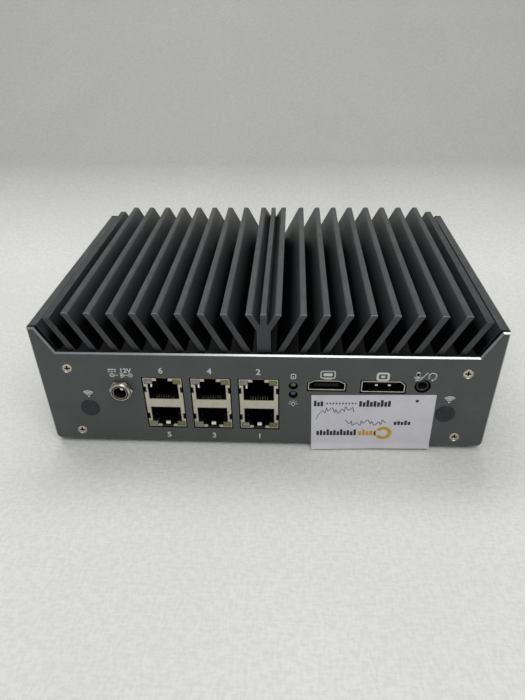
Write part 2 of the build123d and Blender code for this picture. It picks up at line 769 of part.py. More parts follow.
with BuildPart() as audio_socket:
    nose_length = board_inset - socket_recess - piece_gap
    with Locations(at(front_face, audio_x, audio_height, socket_recess)):
        Cylinder(audio_nose_radius, nose_length, align=TOP)
    with BuildSketch(Plane(at(front_face, audio_x, board_under, socket_recess + nose_length))):
        Rectangle(audio_body_width, audio_body_height, align=(Align.CENTER, Align.MAX))
    extrude(amount=-audio_body_depth)
    with Locations(at(front_face, audio_x, audio_height, socket_recess)):
        Hole(audio_bore_radius, audio_bore_depth)
    chamfer(audio_socket.faces().sort_by(Axis.Y)[0].edges(), audio_edge)
audio_socket.part.label = "audio_socket"
export_step(audio_socket.part, "parts/audio_socket.step")

# ---------------------------------------------------------------- indicator lights

with BuildPart() as disk_light:
    indicator_light(board_under - disk_led_drop, disk_lead_reach)
disk_light.part.label = "disk_light"
export_step(disk_light.part, "parts/disk_light.step")

with BuildPart() as power_light:
    indicator_light(board_under - power_led_drop, power_lead_reach)
power_light.part.label = "power_light"
export_step(power_light.part, "parts/power_light.step")

# ---------------------------------------------------------------- rear sockets and button

for index, centre in enumerate(usb_centres, start=1):
    usb_face = Plane(at(rear_face, centre, board_under - usb_height / 2, socket_recess))
    mouths = [(0, -usb_mouth_spacing / 2), (0, usb_mouth_spacing / 2)]

    with BuildPart() as usb_shell:
        with BuildSketch(usb_face):
            Rectangle(usb_width, usb_height)
        extrude(amount=-usb_depth)
        with BuildSketch(usb_face):
            with Locations(*mouths):
                Rectangle(usb_mouth_width, usb_mouth_height)
        extrude(amount=-(usb_depth - sheet), mode=Mode.SUBTRACT)
    usb_shell.part.label = f"usb_shell_{index}"
    export_step(usb_shell.part, f"parts/usb_shell_{index}.step")

    with BuildPart() as usb_tongues:
        base_depth = tongue_recess + usb_tongue_length
        with BuildSketch(usb_face.offset(-base_depth)):
            with Locations(*mouths):
                Rectangle(usb_mouth_width - 2 * piece_gap, usb_mouth_height - 2 * piece_gap)
        extrude(amount=-(usb_depth - sheet - base_depth))
        with BuildSketch(usb_face.offset(-tongue_recess)):
            with Locations(*[(x, y - usb_tongue_height / 2) for x, y in mouths]):
                Rectangle(usb_tongue_width, usb_tongue_height)
        extrude(amount=-usb_tongue_length)
    usb_tongues.part.label = f"usb_tongues_{index}"
    export_step(usb_tongues.part, f"parts/usb_tongues_{index}.step")

# The button's collar runs in the bushing's chamber and rests under the chamber's lip. The spring
# fills the chamber behind the button, round the stop that ends the button's travel.
collar_depth = button_length - button_proud
lip_depth = collar_depth - button_collar_height - body_gap
chamber_depth = collar_depth + spring_length
chamber_radius = bushing_radius - bushing_wall
bushing_length = chamber_depth + bushing_floor

with BuildPart() as power_button_bushing:
    with Locations(at(rear_face, button_x, button_height)):
        Cylinder(bushing_radius, bushing_length, align=TOP)
        Cylinder(bushing_radius + bushing_bezel_lip, bushing_bezel_height, align=BASE)
    chamfer(power_button_bushing.faces().sort_by(Axis.Y)[-1].edges(), button_edge)
    with Locations(at(rear_face, button_x, button_height, -bushing_bezel_height)):
        Hole(button_radius + button_slide_gap, bushing_bezel_height + lip_depth)
    with Locations(at(rear_face, button_x, button_height, lip_depth)):
        Cylinder(chamber_radius, chamber_depth - lip_depth, align=TOP, mode=Mode.SUBTRACT)
    with Locations(at(rear_face, button_x, button_height, chamber_depth)):
        Cylinder(stop_radius, spring_length - button_travel - body_gap, align=BASE)
    with Locations(at(rear_face, button_x, button_height, bushing_length)):
        with GridLocations(terminal_spacing, 0, 2, 1):
            Box(terminal_width, terminal_thickness, terminal_length, align=TOP)
power_button_bushing.part.label = "power_button_bushing"
export_step(power_button_bushing.part, "parts/power_button_bushing.step")

with BuildPart() as power_button:
    with Locations(at(rear_face, button_x, button_height, -button_proud)):
        Cylinder(button_radius, button_length, align=TOP)
    chamfer(power_button.faces().sort_by(Axis.Y)[-1].edges(), button_edge)
    with Locations(at(rear_face, button_x, button_height, collar_depth)):
        Cylinder(chamber_radius - body_gap, button_collar_height, align=BASE)
power_button.part.label = "power_button"
export_step(power_button.part, "parts/power_button.step")

with BuildPart() as power_button_nut:
    with BuildSketch(Plane(at(rear_face, button_x, button_height, panel_thickness))):
        RegularPolygon(bushing_radius + bushing_nut_wall, 6, major_radius=False)
        Circle(bushing_radius + thread_gap, mode=Mode.SUBTRACT)
    extrude(amount=-bushing_nut_thickness)
power_button_nut.part.label = "power_button_nut"
export_step(power_button_nut.part, "parts/power_button_nut.step")

with BuildPart() as power_button_spring:
    spring_end = chamber_depth - spring_wire_radius - piece_gap
    spring_room = spring_length - 2 * (spring_wire_radius + piece_gap)
    with BuildLine():
        coil = Helix(
            pitch=spring_room / spring_turns,
            height=spring_room,
            radius=spring_radius,
            center=at(rear_face, button_x, button_height, spring_end).position,
            direction=rear_face.z_dir,
        )
    with BuildSketch(Plane(origin=coil @ 0, z_dir=coil % 0)):
        Circle(spring_wire_radius)
    sweep(is_frenet=True)
power_button_spring.part.label = "power_button_spring"
export_step(power_button_spring.part, "parts/power_button_spring.step")

# ---------------------------------------------------------------- mainboard and cooling

with BuildPart() as mainboard:
    with BuildSketch(board_face):
        Rectangle(board_width, board_length)
    extrude(amount=-board_thickness)
    with Locations(*[at(board_face, x, y) for x, y in board_screw_points]):
        Hole(board_screw_radius + hole_gap, board_thickness)
mainboard.part.label = "mainboard"
export_step(mainboard.part, "parts/mainboard.step")

with BuildPart() as board_standoffs:
    with BuildSketch(*[Plane(at(board_face, x, y, board_thickness)) for x, y in board_screw_points]):
        RegularPolygon(standoff_flats / 2, 6, major_radius=False)
    extrude(amount=-standoff_length)
    with Locations(*[at(under_face, x, y, roof_under) for x, y in board_screw_points]):
        Cylinder(board_screw_radius, standoff_stud, align=TOP)
    with Locations(*[at(board_face, x, y, board_thickness) for x, y in board_screw_points]):
        Hole(board_screw_radius + thread_gap, standoff_socket)
board_standoffs.part.label = "board_standoffs"
export_step(board_standoffs.part, "parts/board_standoffs.step")

with BuildPart() as board_screws:
    with Locations(*[at(board_face, x, y) for x, y in board_screw_points]):
        Cylinder(pan_head_radius, pan_head_height, align=BASE)
        Cylinder(board_screw_radius, board_thickness + board_screw_reach, align=TOP)
board_screws.part.label = "board_screws"
export_step(board_screws.part, "parts/board_screws.step")

processor_place = Plane((processor_x, processor_y, foot_height + board_top))

with BuildPart() as processor:
    with BuildSketch(processor_place):
        Rectangle(processor_side, processor_side)
    extrude(amount=processor_thickness)
    with BuildSketch(processor_place.offset(processor_thickness)):
        Rectangle(die_width, die_length)
    extrude(amount=die_thickness)
processor.part.label = "processor"
export_step(processor.part, "parts/processor.step")

with BuildPart() as thermal_pad:
    with BuildSketch(processor_place.offset(processor_thickness + die_thickness)):
        Rectangle(pad_side, pad_side)
    extrude(amount=pad_thickness)
thermal_pad.part.label = "thermal_pad"
export_step(thermal_pad.part, "parts/thermal_pad.step")

with BuildPart() as heat_block:
    block_base = processor_thickness + die_thickness + pad_thickness
    with BuildSketch(processor_place.offset(block_base)):
        Rectangle(heat_block_side, heat_block_side)
    extrude(amount=standoff_length - block_base)
heat_block.part.label = "heat_block"
export_step(heat_block.part, "parts/heat_block.step")

# ---------------------------------------------------------------- memory, disk and clock cell

# Depths here are below the board, because its underside faces down. Board-face Y points forward.
ssd_y = inside_front_y + ssd_width / 2
ssd_end = ssd_x + ssd_socket_length - ssd_engagement + ssd_length

with BuildPart() as ssd_socket:
    with BuildSketch(Plane((ssd_x, ssd_y, foot_height + board_under))):
        Rectangle(ssd_socket_length, ssd_width, align=(Align.MIN, Align.CENTER))
    extrude(amount=-ssd_socket_height)
    with BuildSketch(Plane((ssd_x + ssd_socket_length, ssd_y, foot_height + board_under - ssd_drop))):
        Rectangle(ssd_engagement, ssd_width, align=(Align.MAX, Align.CENTER))
    extrude(amount=-(ssd_board + piece_gap), mode=Mode.SUBTRACT)
ssd_socket.part.label = "ssd_socket"
export_step(ssd_socket.part, "parts/ssd_socket.step")

with BuildPart() as ssd_module:
    ssd_top = Plane((ssd_end, ssd_y, foot_height + board_under - ssd_drop))
    with BuildSketch(ssd_top):
        Rectangle(ssd_length - piece_gap, ssd_width - 2 * piece_gap, align=(Align.MAX, Align.CENTER))
        Circle(ssd_notch_radius, mode=Mode.SUBTRACT)
    extrude(amount=-ssd_board)
    with BuildSketch(ssd_top.offset(-ssd_board)):
        with Locations((-ssd_length / 2, 0)):
            with GridLocations(ssd_chip_pitch, 0, 2, 1):
                Rectangle(ssd_chip_length, ssd_chip_width)
    extrude(amount=-ssd_chip_height)
ssd_module.part.label = "ssd_module"
export_step(ssd_module.part, "parts/ssd_module.step")

with BuildPart() as ssd_screw:
    with Locations((ssd_end, ssd_y, foot_height + board_under)):
        Cylinder(ssd_post_radius, ssd_drop, align=TOP)
        Cylinder(ssd_notch_radius - piece_gap, ssd_drop + ssd_board, align=TOP)
    with Locations((ssd_end, ssd_y, foot_height + board_under - ssd_drop - ssd_board)):
        Cylinder(ssd_screw_head_radius, ssd_screw_head_height, align=TOP)
ssd_screw.part.label = "ssd_screw"
export_step(ssd_screw.part, "parts/ssd_screw.step")

memory_y = inside_front_y
memory_level = foot_height + board_under - memory_drop
memory_seat = memory_y + memory_socket_length - memory_engagement

with BuildPart() as memory_socket:
    socket_width = memory_width + 2 * (memory_arm_width + hole_gap)
    with BuildSketch(Plane((memory_x, memory_y, foot_height + board_under))):
        Rectangle(socket_width, memory_socket_length, align=(Align.CENTER, Align.MIN))
    extrude(amount=-memory_socket_height)
    with BuildSketch(Plane((memory_x, memory_y + memory_socket_length, foot_height + board_under))):
        with GridLocations(memory_width + memory_arm_width + 2 * hole_gap, 0, 2, 1):
            Rectangle(memory_arm_width, memory_arm_length, align=(Align.CENTER, Align.MIN))
    extrude(amount=-memory_socket_height)
    with BuildSketch(Plane((memory_x, memory_seat, memory_level))):
        Rectangle(
            memory_width + 2 * hole_gap,
            memory_engagement + memory_arm_length,
            align=(Align.CENTER, Align.MIN),
        )
    extrude(amount=-(memory_board + piece_gap), mode=Mode.SUBTRACT)
memory_socket.part.label = "memory_socket"
export_step(memory_socket.part, "parts/memory_socket.step")

with BuildPart() as memory_module:
    with BuildSketch(Plane((memory_x, memory_seat + piece_gap, memory_level))):
        Rectangle(memory_width, memory_length, align=(Align.CENTER, Align.MIN))
    extrude(amount=-memory_board)
    chip_y = memory_seat + (memory_length + memory_engagement) / 2
    with BuildSketch(Plane((memory_x, chip_y, memory_level - memory_board))):
        with GridLocations(memory_chip_pitch, 0, memory_chips, 1):
            Rectangle(memory_chip_width, memory_chip_length)
    extrude(amount=-memory_chip_height)
memory_module.part.label = "memory_module"
export_step(memory_module.part, "parts/memory_module.step")

cell_y = ssd_y + ssd_width / 2 + inside_gap + cell_holder_radius

with BuildPart() as cell_holder:
    with Locations((cell_x, cell_y, foot_height + board_under)):
        Cylinder(cell_holder_radius, cell_holder_height, align=TOP)
    with Locations((cell_x, cell_y, foot_height + board_under - cell_seat)):
        Cylinder(cell_radius + piece_gap, cell_holder_height, align=TOP, mode=Mode.SUBTRACT)
cell_holder.part.label = "cell_holder"
export_step(cell_holder.part, "parts/cell_holder.step")

with BuildPart() as clock_cell:
    with Locations((cell_x, cell_y, foot_height + board_under - cell_seat)):
        Cylinder(cell_radius, cell_height, align=TOP)
    chamfer(clock_cell.faces().sort_by(Axis.Z)[0].edges(), cell_edge)
clock_cell.part.label = "clock_cell"
export_step(clock_cell.part, "parts/clock_cell.step")
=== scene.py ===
import json
from math import cos, pi, radians, sin

import bmesh
import bpy
from mathutils import Matrix, Vector


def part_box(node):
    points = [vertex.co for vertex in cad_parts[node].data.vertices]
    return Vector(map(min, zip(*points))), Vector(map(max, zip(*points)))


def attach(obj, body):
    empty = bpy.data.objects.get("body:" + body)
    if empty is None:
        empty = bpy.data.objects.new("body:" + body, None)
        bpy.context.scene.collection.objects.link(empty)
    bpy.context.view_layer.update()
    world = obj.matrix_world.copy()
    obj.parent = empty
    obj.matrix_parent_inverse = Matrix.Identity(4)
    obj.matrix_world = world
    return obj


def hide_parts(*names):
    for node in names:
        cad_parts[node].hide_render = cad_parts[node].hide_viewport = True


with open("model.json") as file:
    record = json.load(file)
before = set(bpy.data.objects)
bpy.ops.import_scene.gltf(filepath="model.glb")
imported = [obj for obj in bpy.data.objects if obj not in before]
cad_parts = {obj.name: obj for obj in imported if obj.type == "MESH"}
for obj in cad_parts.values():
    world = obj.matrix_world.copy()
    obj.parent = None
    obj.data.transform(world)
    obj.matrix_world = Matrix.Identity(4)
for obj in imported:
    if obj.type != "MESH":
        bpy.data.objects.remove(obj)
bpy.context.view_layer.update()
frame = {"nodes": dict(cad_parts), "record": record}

MM = 0.001
BODY = "case"
FORWARD, BACKWARD = Vector((0, -1, 0)), Vector((0, 1, 0))
UP, DOWN = Vector((0, 0, 1)), Vector((0, 0, -1))

# The front panel's outer face looks along -Y and the rear one along +Y.
FRONT_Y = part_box("front_panel")[0].y
PANEL_END, REAR_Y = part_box("rear_panel")[1].xy

# Sizes that the boxes of the CAD nodes don't give.
HEAD_DEPTH = 1.2 * MM
PANEL_SCREW, PANEL_HEAD, PANEL_SCREW_LENGTH = 1.0 * MM, 2.0 * MM, 10.0 * MM
COVER_SCREW, COVER_HEAD, COVER_SCREW_LENGTH = 1.5 * MM, 2.8 * MM, 6.0 * MM
FOOT_RADIUS = 6.0 * MM
NUT_BORE = 3.84 * MM
LAMP_HEIGHT = 2.2 * MM

# The colour sockets of a mix node, by number, because its other sockets have the same names.
MIX_FIRST, MIX_SECOND, MIX_RESULT = 6, 7, 2


def middle(node):
    """The middle of a CAD node's box."""
    low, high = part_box(node)
    return (low + high) / 2


# ---- materials


# Every finished material by its name. CAD nodes take the one that has their slot's name.
FINISHES = {}


class Finish:
    """One procedural material: a Principled shader with nodes for colour, roughness and bump."""

    def __init__(self, name, roughness=0.5, metallic=0.0, specular=0.5):
        self.name = name
        self.material = bpy.data.materials.new(name)
        self.material.use_nodes = True
        self.tree = self.material.node_tree
        self.shader = self.tree.nodes["Principled BSDF"]
        self.shader.inputs["Roughness"].default_value = roughness
        self.shader.inputs["Metallic"].default_value = metallic
        self.shader.inputs["Specular IOR Level"].default_value = specular
        self.place = self.add("TexCoord").outputs["Object"]
        self.normal = None

    def add(self, kind, inputs=None, **settings):
        """A shader node with these settings. An input is a value or another node's output."""
        node = self.tree.nodes.new("ShaderNode" + kind)
        for key, value in settings.items():
            setattr(node, key, value)
        for key, value in (inputs or {}).items():
            if isinstance(value, bpy.types.NodeSocket):
                self.tree.links.new(value, node.inputs[key])
            else:
                node.inputs[key].default_value = value
        return node

    def vector(self, operation, inputs):
        return self.add("VectorMath", inputs, operation=operation).outputs

    def noise(self, size, detail=2.0, stretch=(1, 1, 1), roughness=0.5):
        """Noise whose features are about this size in metres, drawn out along each axis."""
        scale = [1 / (size * s) for s in stretch]
        mapped = self.add("Mapping", {"Vector": self.place, "Scale": scale})
        values = {"Vector": mapped.outputs[0], "Scale": 1.0, "Detail": detail}
        values["Roughness"] = roughness
        return self.add("TexNoise", values).outputs["Fac"]

    def blend(self, factor, first, second):
        """A colour between two others, by the factor."""
        values = {"Factor": factor, MIX_FIRST: first, MIX_SECOND: second}
        return self.add("Mix", values, data_type="RGBA").outputs[MIX_RESULT]

    def spread(self, value, low, high, out_low=0.0, out_high=1.0):
        """The value carried from one range to another, clamped to it."""
        values = {"Value": value, "From Min": low, "From Max": high}
        values.update({"To Min": out_low, "To Max": out_high})
        return self.add("MapRange", values).outputs["Result"]

    def varied(self, noise, low=0.0, high=1.0):
        """Noise, most of which lies from 0.3 to 0.7, carried to a range."""
        return self.spread(noise, 0.3, 0.7, low, high)

    def math(self, operation, first, second=0.0):
        return self.add("Math", {0: first, 1: second}, operation=operation).outputs[0]

    def times(self, first, second):
        return self.math("MULTIPLY", first, second)

    def bump(self, height, strength, distance):
        """Raises the surface's normal by a height. Calls add up."""
        values = {"Height": height, "Strength": strength, "Distance": distance}
        if self.normal is not None:
            values["Normal"] = self.normal
        self.normal = self.add("Bump", values).outputs["Normal"]

    def soften(self, radius):
        """Rounds sharp edges in the shading, as a real edge is broken."""
        node = self.add("Bevel", {"Radius": radius}, samples=4)
        self.normal = node.outputs["Normal"]

    def edges(self, radius, low=0.90, high=0.985):
        """A mask that is 1 on edges and 0 on flats: it marks where finishes wear through, and where
        painted highlights and shade go along edges.
        """
        rounded = self.add("Bevel", {"Radius": radius}, samples=6).outputs["Normal"]
        true = self.add("NewGeometry").outputs["True Normal"]
        facing = self.vector("DOT_PRODUCT", {0: rounded, 1: true})["Value"]
        return self.spread(facing, high, low)

    def axis(self, letter):
        """One coordinate of the place on the object."""
        return self.add("SeparateXYZ", {0: self.place}).outputs[letter]

    def away(self, letter):
        """How far a place is from the middle of the object along one axis."""
        return self.math("ABSOLUTE", self.axis(letter))

    def around(self, node):
        """The distance from a line along Y through the middle of a CAD node."""
        mapped = self.add("Mapping", {"Vector": self.place, "Location": -middle(node)})
        flat = self.vector("MULTIPLY", {0: mapped.outputs[0], 1: (1, 0, 1)})
        return self.vector("LENGTH", {0: flat[0]})["Value"]

    def mouth(self, shallow, deep, floor):
        """A painted shade mask that falls from 1 at the sockets' mouths to this floor, deeper in."""
        inward = self.math("SUBTRACT", REAR_Y, self.away("Y"))
        return self.spread(inward, shallow, deep, 1.0, floor)

    def scaled(self, colour, factor):
        """A colour times a factor."""
        return self.vector("SCALE", {0: colour, "Scale": factor})["Vector"]

    def wire(self, socket, output):
        self.tree.links.new(output, self.shader.inputs[socket])

    def finish(self, colour=None, roughness=None):
        if colour is not None:
            self.wire("Base Color", colour)
        if roughness is not None:
            self.wire("Roughness", roughness)
        if self.normal is not None:
            self.wire("Normal", self.normal)
        FINISHES[self.name] = self.material
        return self.material


def rgb(red, green, blue):
    return (red, green, blue, 1.0)


def grey(value, warmth=0.0):
    return (value * (1 + warmth), value, value * (1 - warmth), 1.0)


def dimmed(colour, factor):
    return [channel * factor for channel in colour[:3]] + [1.0]


def speckled(look, base, size, contrast, cloud=0.015):
    """A base colour with fine grain and slow, faint clouds."""
    grain = look.varied(look.noise(size, 3.0), 1 - contrast, 1 + contrast)
    clouds = look.varied(look.noise(cloud, 3.0), 1 - contrast / 2, 1 + contrast / 2)
    return look.scaled(base[:3], look.times(grain, clouds))


def anodised_black():
    """Extruded and anodised: die lines along the fins, dusty patches and painted top light on what faces
    up, painted shade that darkens the deep grooves nearly to black, and bare metal from wear and painted
    highlights at the edges and the fins' front-top corners."""
    look = Finish("anodised_black", metallic=0.50, specular=0.4)
    look.soften(0.00025)
    lines = look.noise(0.0004, 3.0, (1, 400, 1))
    pores = look.noise(0.00012, 2.0)
    look.bump(lines, 0.25, 0.00004)
    look.bump(pores, 0.30, 0.00003)
    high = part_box("heatsink_housing")[1]
    colour = speckled(look, grey(0.074, -0.06), 0.0006, 0.12)
    # Painted shade: the colour darkens with depth below the fin tops, nearly to black in the grooves, but
    # not near the side walls or on the end faces.
    depth = look.spread(look.axis("Z"), high.z - 7.5 * MM, high.z - 0.6 * MM, 0.06, 1.0)
    ear = look.spread(look.away("X"), high.x - 7.0 * MM, high.x - 5.5 * MM)
    ends = look.spread(look.away("Y"), high.y - 0.15 * MM, high.y - 0.05 * MM)
    painted_shade_factor = look.math("MAXIMUM", depth, ear)
    painted_shade_factor = look.math("MAXIMUM", painted_shade_factor, look.times(ends, 0.75))
    colour = look.scaled(colour, painted_shade_factor)
    # Painted top light mixed with dust: faces that look up are lightened to grey in patches, less in the
    # painted shade of the grooves.
    normal = look.add("NewGeometry").outputs["Normal"]
    upward = look.add("SeparateXYZ", {0: normal}).outputs["Z"]
    facing = look.times(look.spread(upward, 0.75, 1.0), painted_shade_factor)
    dust_and_top_light = look.spread(look.noise(0.0035, 6.0, (1, 3, 1), 0.65), 0.42, 0.78, 0.0, 0.35)
    colour = look.blend(look.times(facing, dust_and_top_light), colour, grey(0.20))
    # Wear and painted highlights: edges lighten to bare grey, the fins' front-top corners most, and less
    # in the painted shade of the grooves.
    wear_and_glint = look.spread(look.noise(0.004, 4.0), 0.35, 0.7, 0.05, 0.50)
    corner = look.spread(look.away("Y"), high.y - 1.2 * MM, high.y - 0.2 * MM)
    corner_wear_and_glint = look.spread(look.axis("Z"), high.z - 1.3 * MM, high.z - 0.4 * MM)
    corner_wear_and_glint = look.times(corner, corner_wear_and_glint)
    wear_and_glint = look.math("MAXIMUM", wear_and_glint, corner_wear_and_glint)
    worn = look.times(look.edges(0.00035), look.times(wear_and_glint, painted_shade_factor))
    colour = look.blend(worn, colour, grey(0.40))
    roughness = look.varied(lines, 0.38, 0.48)
    return look.finish(colour, roughness)


def panel_grey():
    """Blasted and anodised plate: fine sparkle, a polished bevel where the edges are milled, and painted
    shade inside its holes.
    """
    look = Finish("panel_grey", metallic=0.35, specular=0.4)
    grain = look.noise(0.00022, 2.0)
    normal = look.add("TexCoord").outputs["Normal"]
    across = look.add("SeparateXYZ", {0: normal}).outputs["Y"]
    across = look.math("ABSOLUTE", across)
    above_low = look.spread(across, 0.25, 0.45)
    below_high = look.spread(across, 0.90, 0.80)
    milled = look.times(above_low, below_high)
    blasted = speckled(look, rgb(0.080, 0.0845, 0.0845), 0.00030, 0.14)
    scuffs = look.spread(look.noise(0.0016, 5.0, (5, 1, 1), 0.7), 0.66, 0.80, 0.0, 0.18)
    blasted = look.blend(scuffs, blasted, rgb(0.19, 0.195, 0.19))
    outward = look.spread(look.away("X"), PANEL_END - 9 * MM, PANEL_END - 7 * MM)
    rim = look.times(look.edges(0.00016), look.times(outward, 0.45))
    blasted = look.blend(rim, blasted, grey(0.42))
    # Painted shade: the plate darkens deeper than its face, inside the holes, and faces that turn side-on
    # to the front go nearly black away from the panel's ends.
    blasted = look.scaled(blasted, look.mouth(0.62 * MM, 0.75 * MM, 0.10))
    holes = look.math("LESS_THAN", look.away("X"), PANEL_END - 10 * MM)
    bore_shade = look.times(look.spread(across, 0.3, 0.1), holes)
    blasted = look.blend(bore_shade, blasted, grey(0.004))
    colour = look.blend(milled, blasted, rgb(0.36, 0.365, 0.37))
    look.bump(grain, 0.22, 0.00003)
    satin = look.varied(grain, 0.44, 0.56)
    roughness = look.math("SUBTRACT", satin, look.times(milled, 0.20))
    look.wire("Metallic", look.spread(milled, 0.0, 1.0, 0.35, 1.0))
    return look.finish(colour, roughness)


def cover_black():
    """Powder coat with an orange-peel texture."""
    look = Finish("cover_black", specular=0.45)
    look.soften(0.0002)
    peel = look.noise(0.0007, 2.0)
    look.bump(peel, 0.5, 0.00008)
    colour = speckled(look, grey(0.022), 0.0005, 0.10)
    return look.finish(colour, look.varied(peel, 0.50, 0.64))


def plated(name, base, roughness=0.30, tarnish=0.25, soften=0.00012, mouth=None, fold_shadow=False):
    """Plated or bare metal with streaks of rubbing and slight tarnish. A mouth, which is two depths and a
    floor, paints shade on it inside a socket, and a fold shadow paints a dark shadow line along the
    folded edges of the network shields."""
    look = Finish(name, metallic=1.0)
    look.soften(soften)
    streaks = look.noise(0.00035, 3.0, (6, 1, 1))
    spots = look.noise(0.0022, 5.0, roughness=0.6)
    dull = look.spread(spots, 0.48, 0.75, 0.0, tarnish)
    colour = look.blend(dull, base, dimmed(base, 0.45))
    if mouth:
        # Painted shade: darker deeper inside the socket.
        colour = look.scaled(colour, look.mouth(*mouth))
    if fold_shadow:
        # Painted shadow: a dark line along the edges of the network shields, where the gap round them
        # would be in shade.
        network = look.math("LESS_THAN", look.axis("X"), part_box("lan_shield_3")[1].x + 1 * MM)
        fold_shadow_mask = look.times(look.edges(0.00055), network)
        colour = look.blend(fold_shadow_mask, colour, grey(0.012))
    look.bump(streaks, 0.12, 0.00002)
    rough = look.varied(streaks, roughness - 0.06, roughness + 0.08)
    return look.finish(colour, rough)


def inlet_nickel():
    """Nickel plate round the inlet, with a dark ring of painted shade on the barrel's face."""
    look = Finish("plated_nickel", metallic=1.0)
    look.soften(0.00012)
    streaks = look.noise(0.00035, 3.0, (6, 1, 1))
    dull = look.spread(look.noise(0.0016, 5.0), 0.45, 0.75)
    colour = look.blend(dull, rgb(0.52, 0.50, 0.43), grey(0.20, 0.08))
    # Painted shade: a dark ring on the barrel's face between the bore and its rim.
    radius = look.around("inlet_pin")
    inner = look.spread(radius, 2.85 * MM, 2.95 * MM)
    outer = look.spread(radius, 3.45 * MM, 3.60 * MM, 1.0, 0.0)
    colour = look.blend(look.times(inner, outer), colour, grey(0.03, 0.1))
    look.bump(streaks, 0.12, 0.00002)
    return look.finish(colour, look.varied(streaks, 0.16, 0.28))


def turned_steel():
    """Steel turned on a lathe: fine rings around the Y axis."""
    look = Finish("button_steel", metallic=1.0)
    look.soften(0.00015)
    radius = look.around("power_button")
    along = look.add("CombineXYZ", {"X": look.times(radius, 9000.0)})
    values = {"Vector": along.outputs[0], "Scale": 1.0, "Detail": 2.0}
    rings = look.add("TexNoise", values).outputs["Fac"]
    look.bump(rings, 0.20, 0.00003)
    colour = look.blend(rings, grey(0.46), grey(0.60))
    return look.finish(colour, look.varied(rings, 0.24, 0.36))


def moulded(name, base, roughness=0.45, grain=0.0004, strength=0.25, specular=0.45, mouth=None):
    """Moulded plastic or rubber with a fine spark-eroded texture. A mouth paints shade on it, darker with
    depth.
    """
    look = Finish(name, specular=specular)
    look.soften(0.0001)
    texture = look.noise(grain, 3.0)
    look.bump(texture, strength, 0.00005)
    colour = speckled(look, base, grain, 0.10)
    if mouth:
        colour = look.scaled(colour, look.mouth(*mouth))
    return look.finish(colour, look.varied(texture, roughness - 0.07, roughness + 0.09))


def lens(name, base, depth, transmission=0.25):
    """Tinted clear plastic with flow marks that darken it in patches, and painted shade darker along its
    edges.
    """
    look = Finish(name, roughness=0.18, specular=0.6)
    look.shader.inputs["Transmission Weight"].default_value = transmission
    look.shader.inputs["IOR"].default_value = 1.49
    look.shader.inputs["Coat Weight"].default_value = 0.6
    look.shader.inputs["Coat Roughness"].default_value = 0.08
    flow = look.noise(0.0006, 3.0, (1, 4, 2))
    colour = look.blend(look.spread(flow, 0.35, 0.65), base, dimmed(base, depth))
    # Painted shade: the lens darkens along its edges.
    colour = look.blend(look.times(look.edges(0.00035), 0.7), colour, dimmed(base, 0.25))
    look.bump(flow, 0.15, 0.00004)
    return look.finish(colour, look.varied(flow, 0.14, 0.26))


def solder_mask():
    """Green board: traces showing faintly through the mask."""
    look = Finish("board_green", specular=0.5)
    mapped = look.add("Mapping", {"Vector": look.place, "Scale": (700, 700, 0)})
    values = {"Vector": mapped.outputs[0], "Scale": 1.0}
    cells = look.add("TexVoronoi", values, distance="MANHATTAN")
    traces = look.spread(cells.outputs["Distance"], 0.25, 0.55)
    colour = look.blend(traces, rgb(0.018, 0.12, 0.045), rgb(0.035, 0.20, 0.08))
    look.bump(traces, 0.3, 0.00004)
    return look.finish(colour, look.varied(look.noise(0.004), 0.28, 0.42))


def paper():
    """Label paper: fibres, a faint mottle and a slight sheen."""
    look = Finish("paper_white", specular=0.35)
    fibres = look.noise(0.00025, 4.0, (3, 1, 1), 0.6)
    mottle = look.noise(0.006, 3.0)
    look.bump(fibres, 0.20, 0.00003)
    light = look.blend(look.varied(mottle), rgb(0.55, 0.54, 0.575), rgb(0.60, 0.59, 0.62))
    colour = look.blend(look.spread(fibres, 0.55, 0.8, 0.0, 0.25), light, rgb(0.48, 0.47, 0.505))
    return look.finish(colour, look.varied(fibres, 0.48, 0.62))


def ink(name, base, worn=0.25):
    """Printed ink, thinner in places."""
    look = Finish(name, specular=0.3)
    patches = look.noise(0.0003, 4.0)
    thin = look.spread(patches, 0.52, 0.75, 0.0, worn)
    colour = look.blend(thin, base, [0.6 * c + 0.04 for c in base[:3]] + [1.0])
    look.bump(patches, 0.1, 0.00002)
    return look.finish(colour, look.varied(patches, 0.50, 0.65))


def floor_paper():
    """Pale backdrop cloth: a fine weave, and painted shade that darkens it where it rises behind the
    object.
    """
    look = Finish("floor_paper", specular=0.15)
    warp = look.noise(0.0011, 2.0, (1, 3, 1))
    weft = look.noise(0.0011, 2.0, (3, 1, 1))
    weave = look.times(warp, weft)
    look.bump(weave, 0.8, 0.0006)
    tone = look.varied(look.noise(0.08, 3.0))
    colour = look.blend(tone, rgb(0.735, 0.735, 0.705), rgb(0.775, 0.775, 0.745))
    colour = look.blend(look.spread(weave, 0.17, 0.33, 0.0, 0.5), colour, rgb(0.63, 0.63, 0.60))
    # Painted shade: the cloth darkens as it rises from the floor.
    colour = look.scaled(colour, look.spread(look.axis("Z"), 0.002, 0.036, 1.0, 0.555))
    return look.finish(colour, look.spread(weave, 0.1, 0.4, 0.80, 0.92))


for made_once in (
    anodised_black, panel_grey, cover_black, paper, inlet_nickel, turned_steel, solder_mask,
):
    made_once()
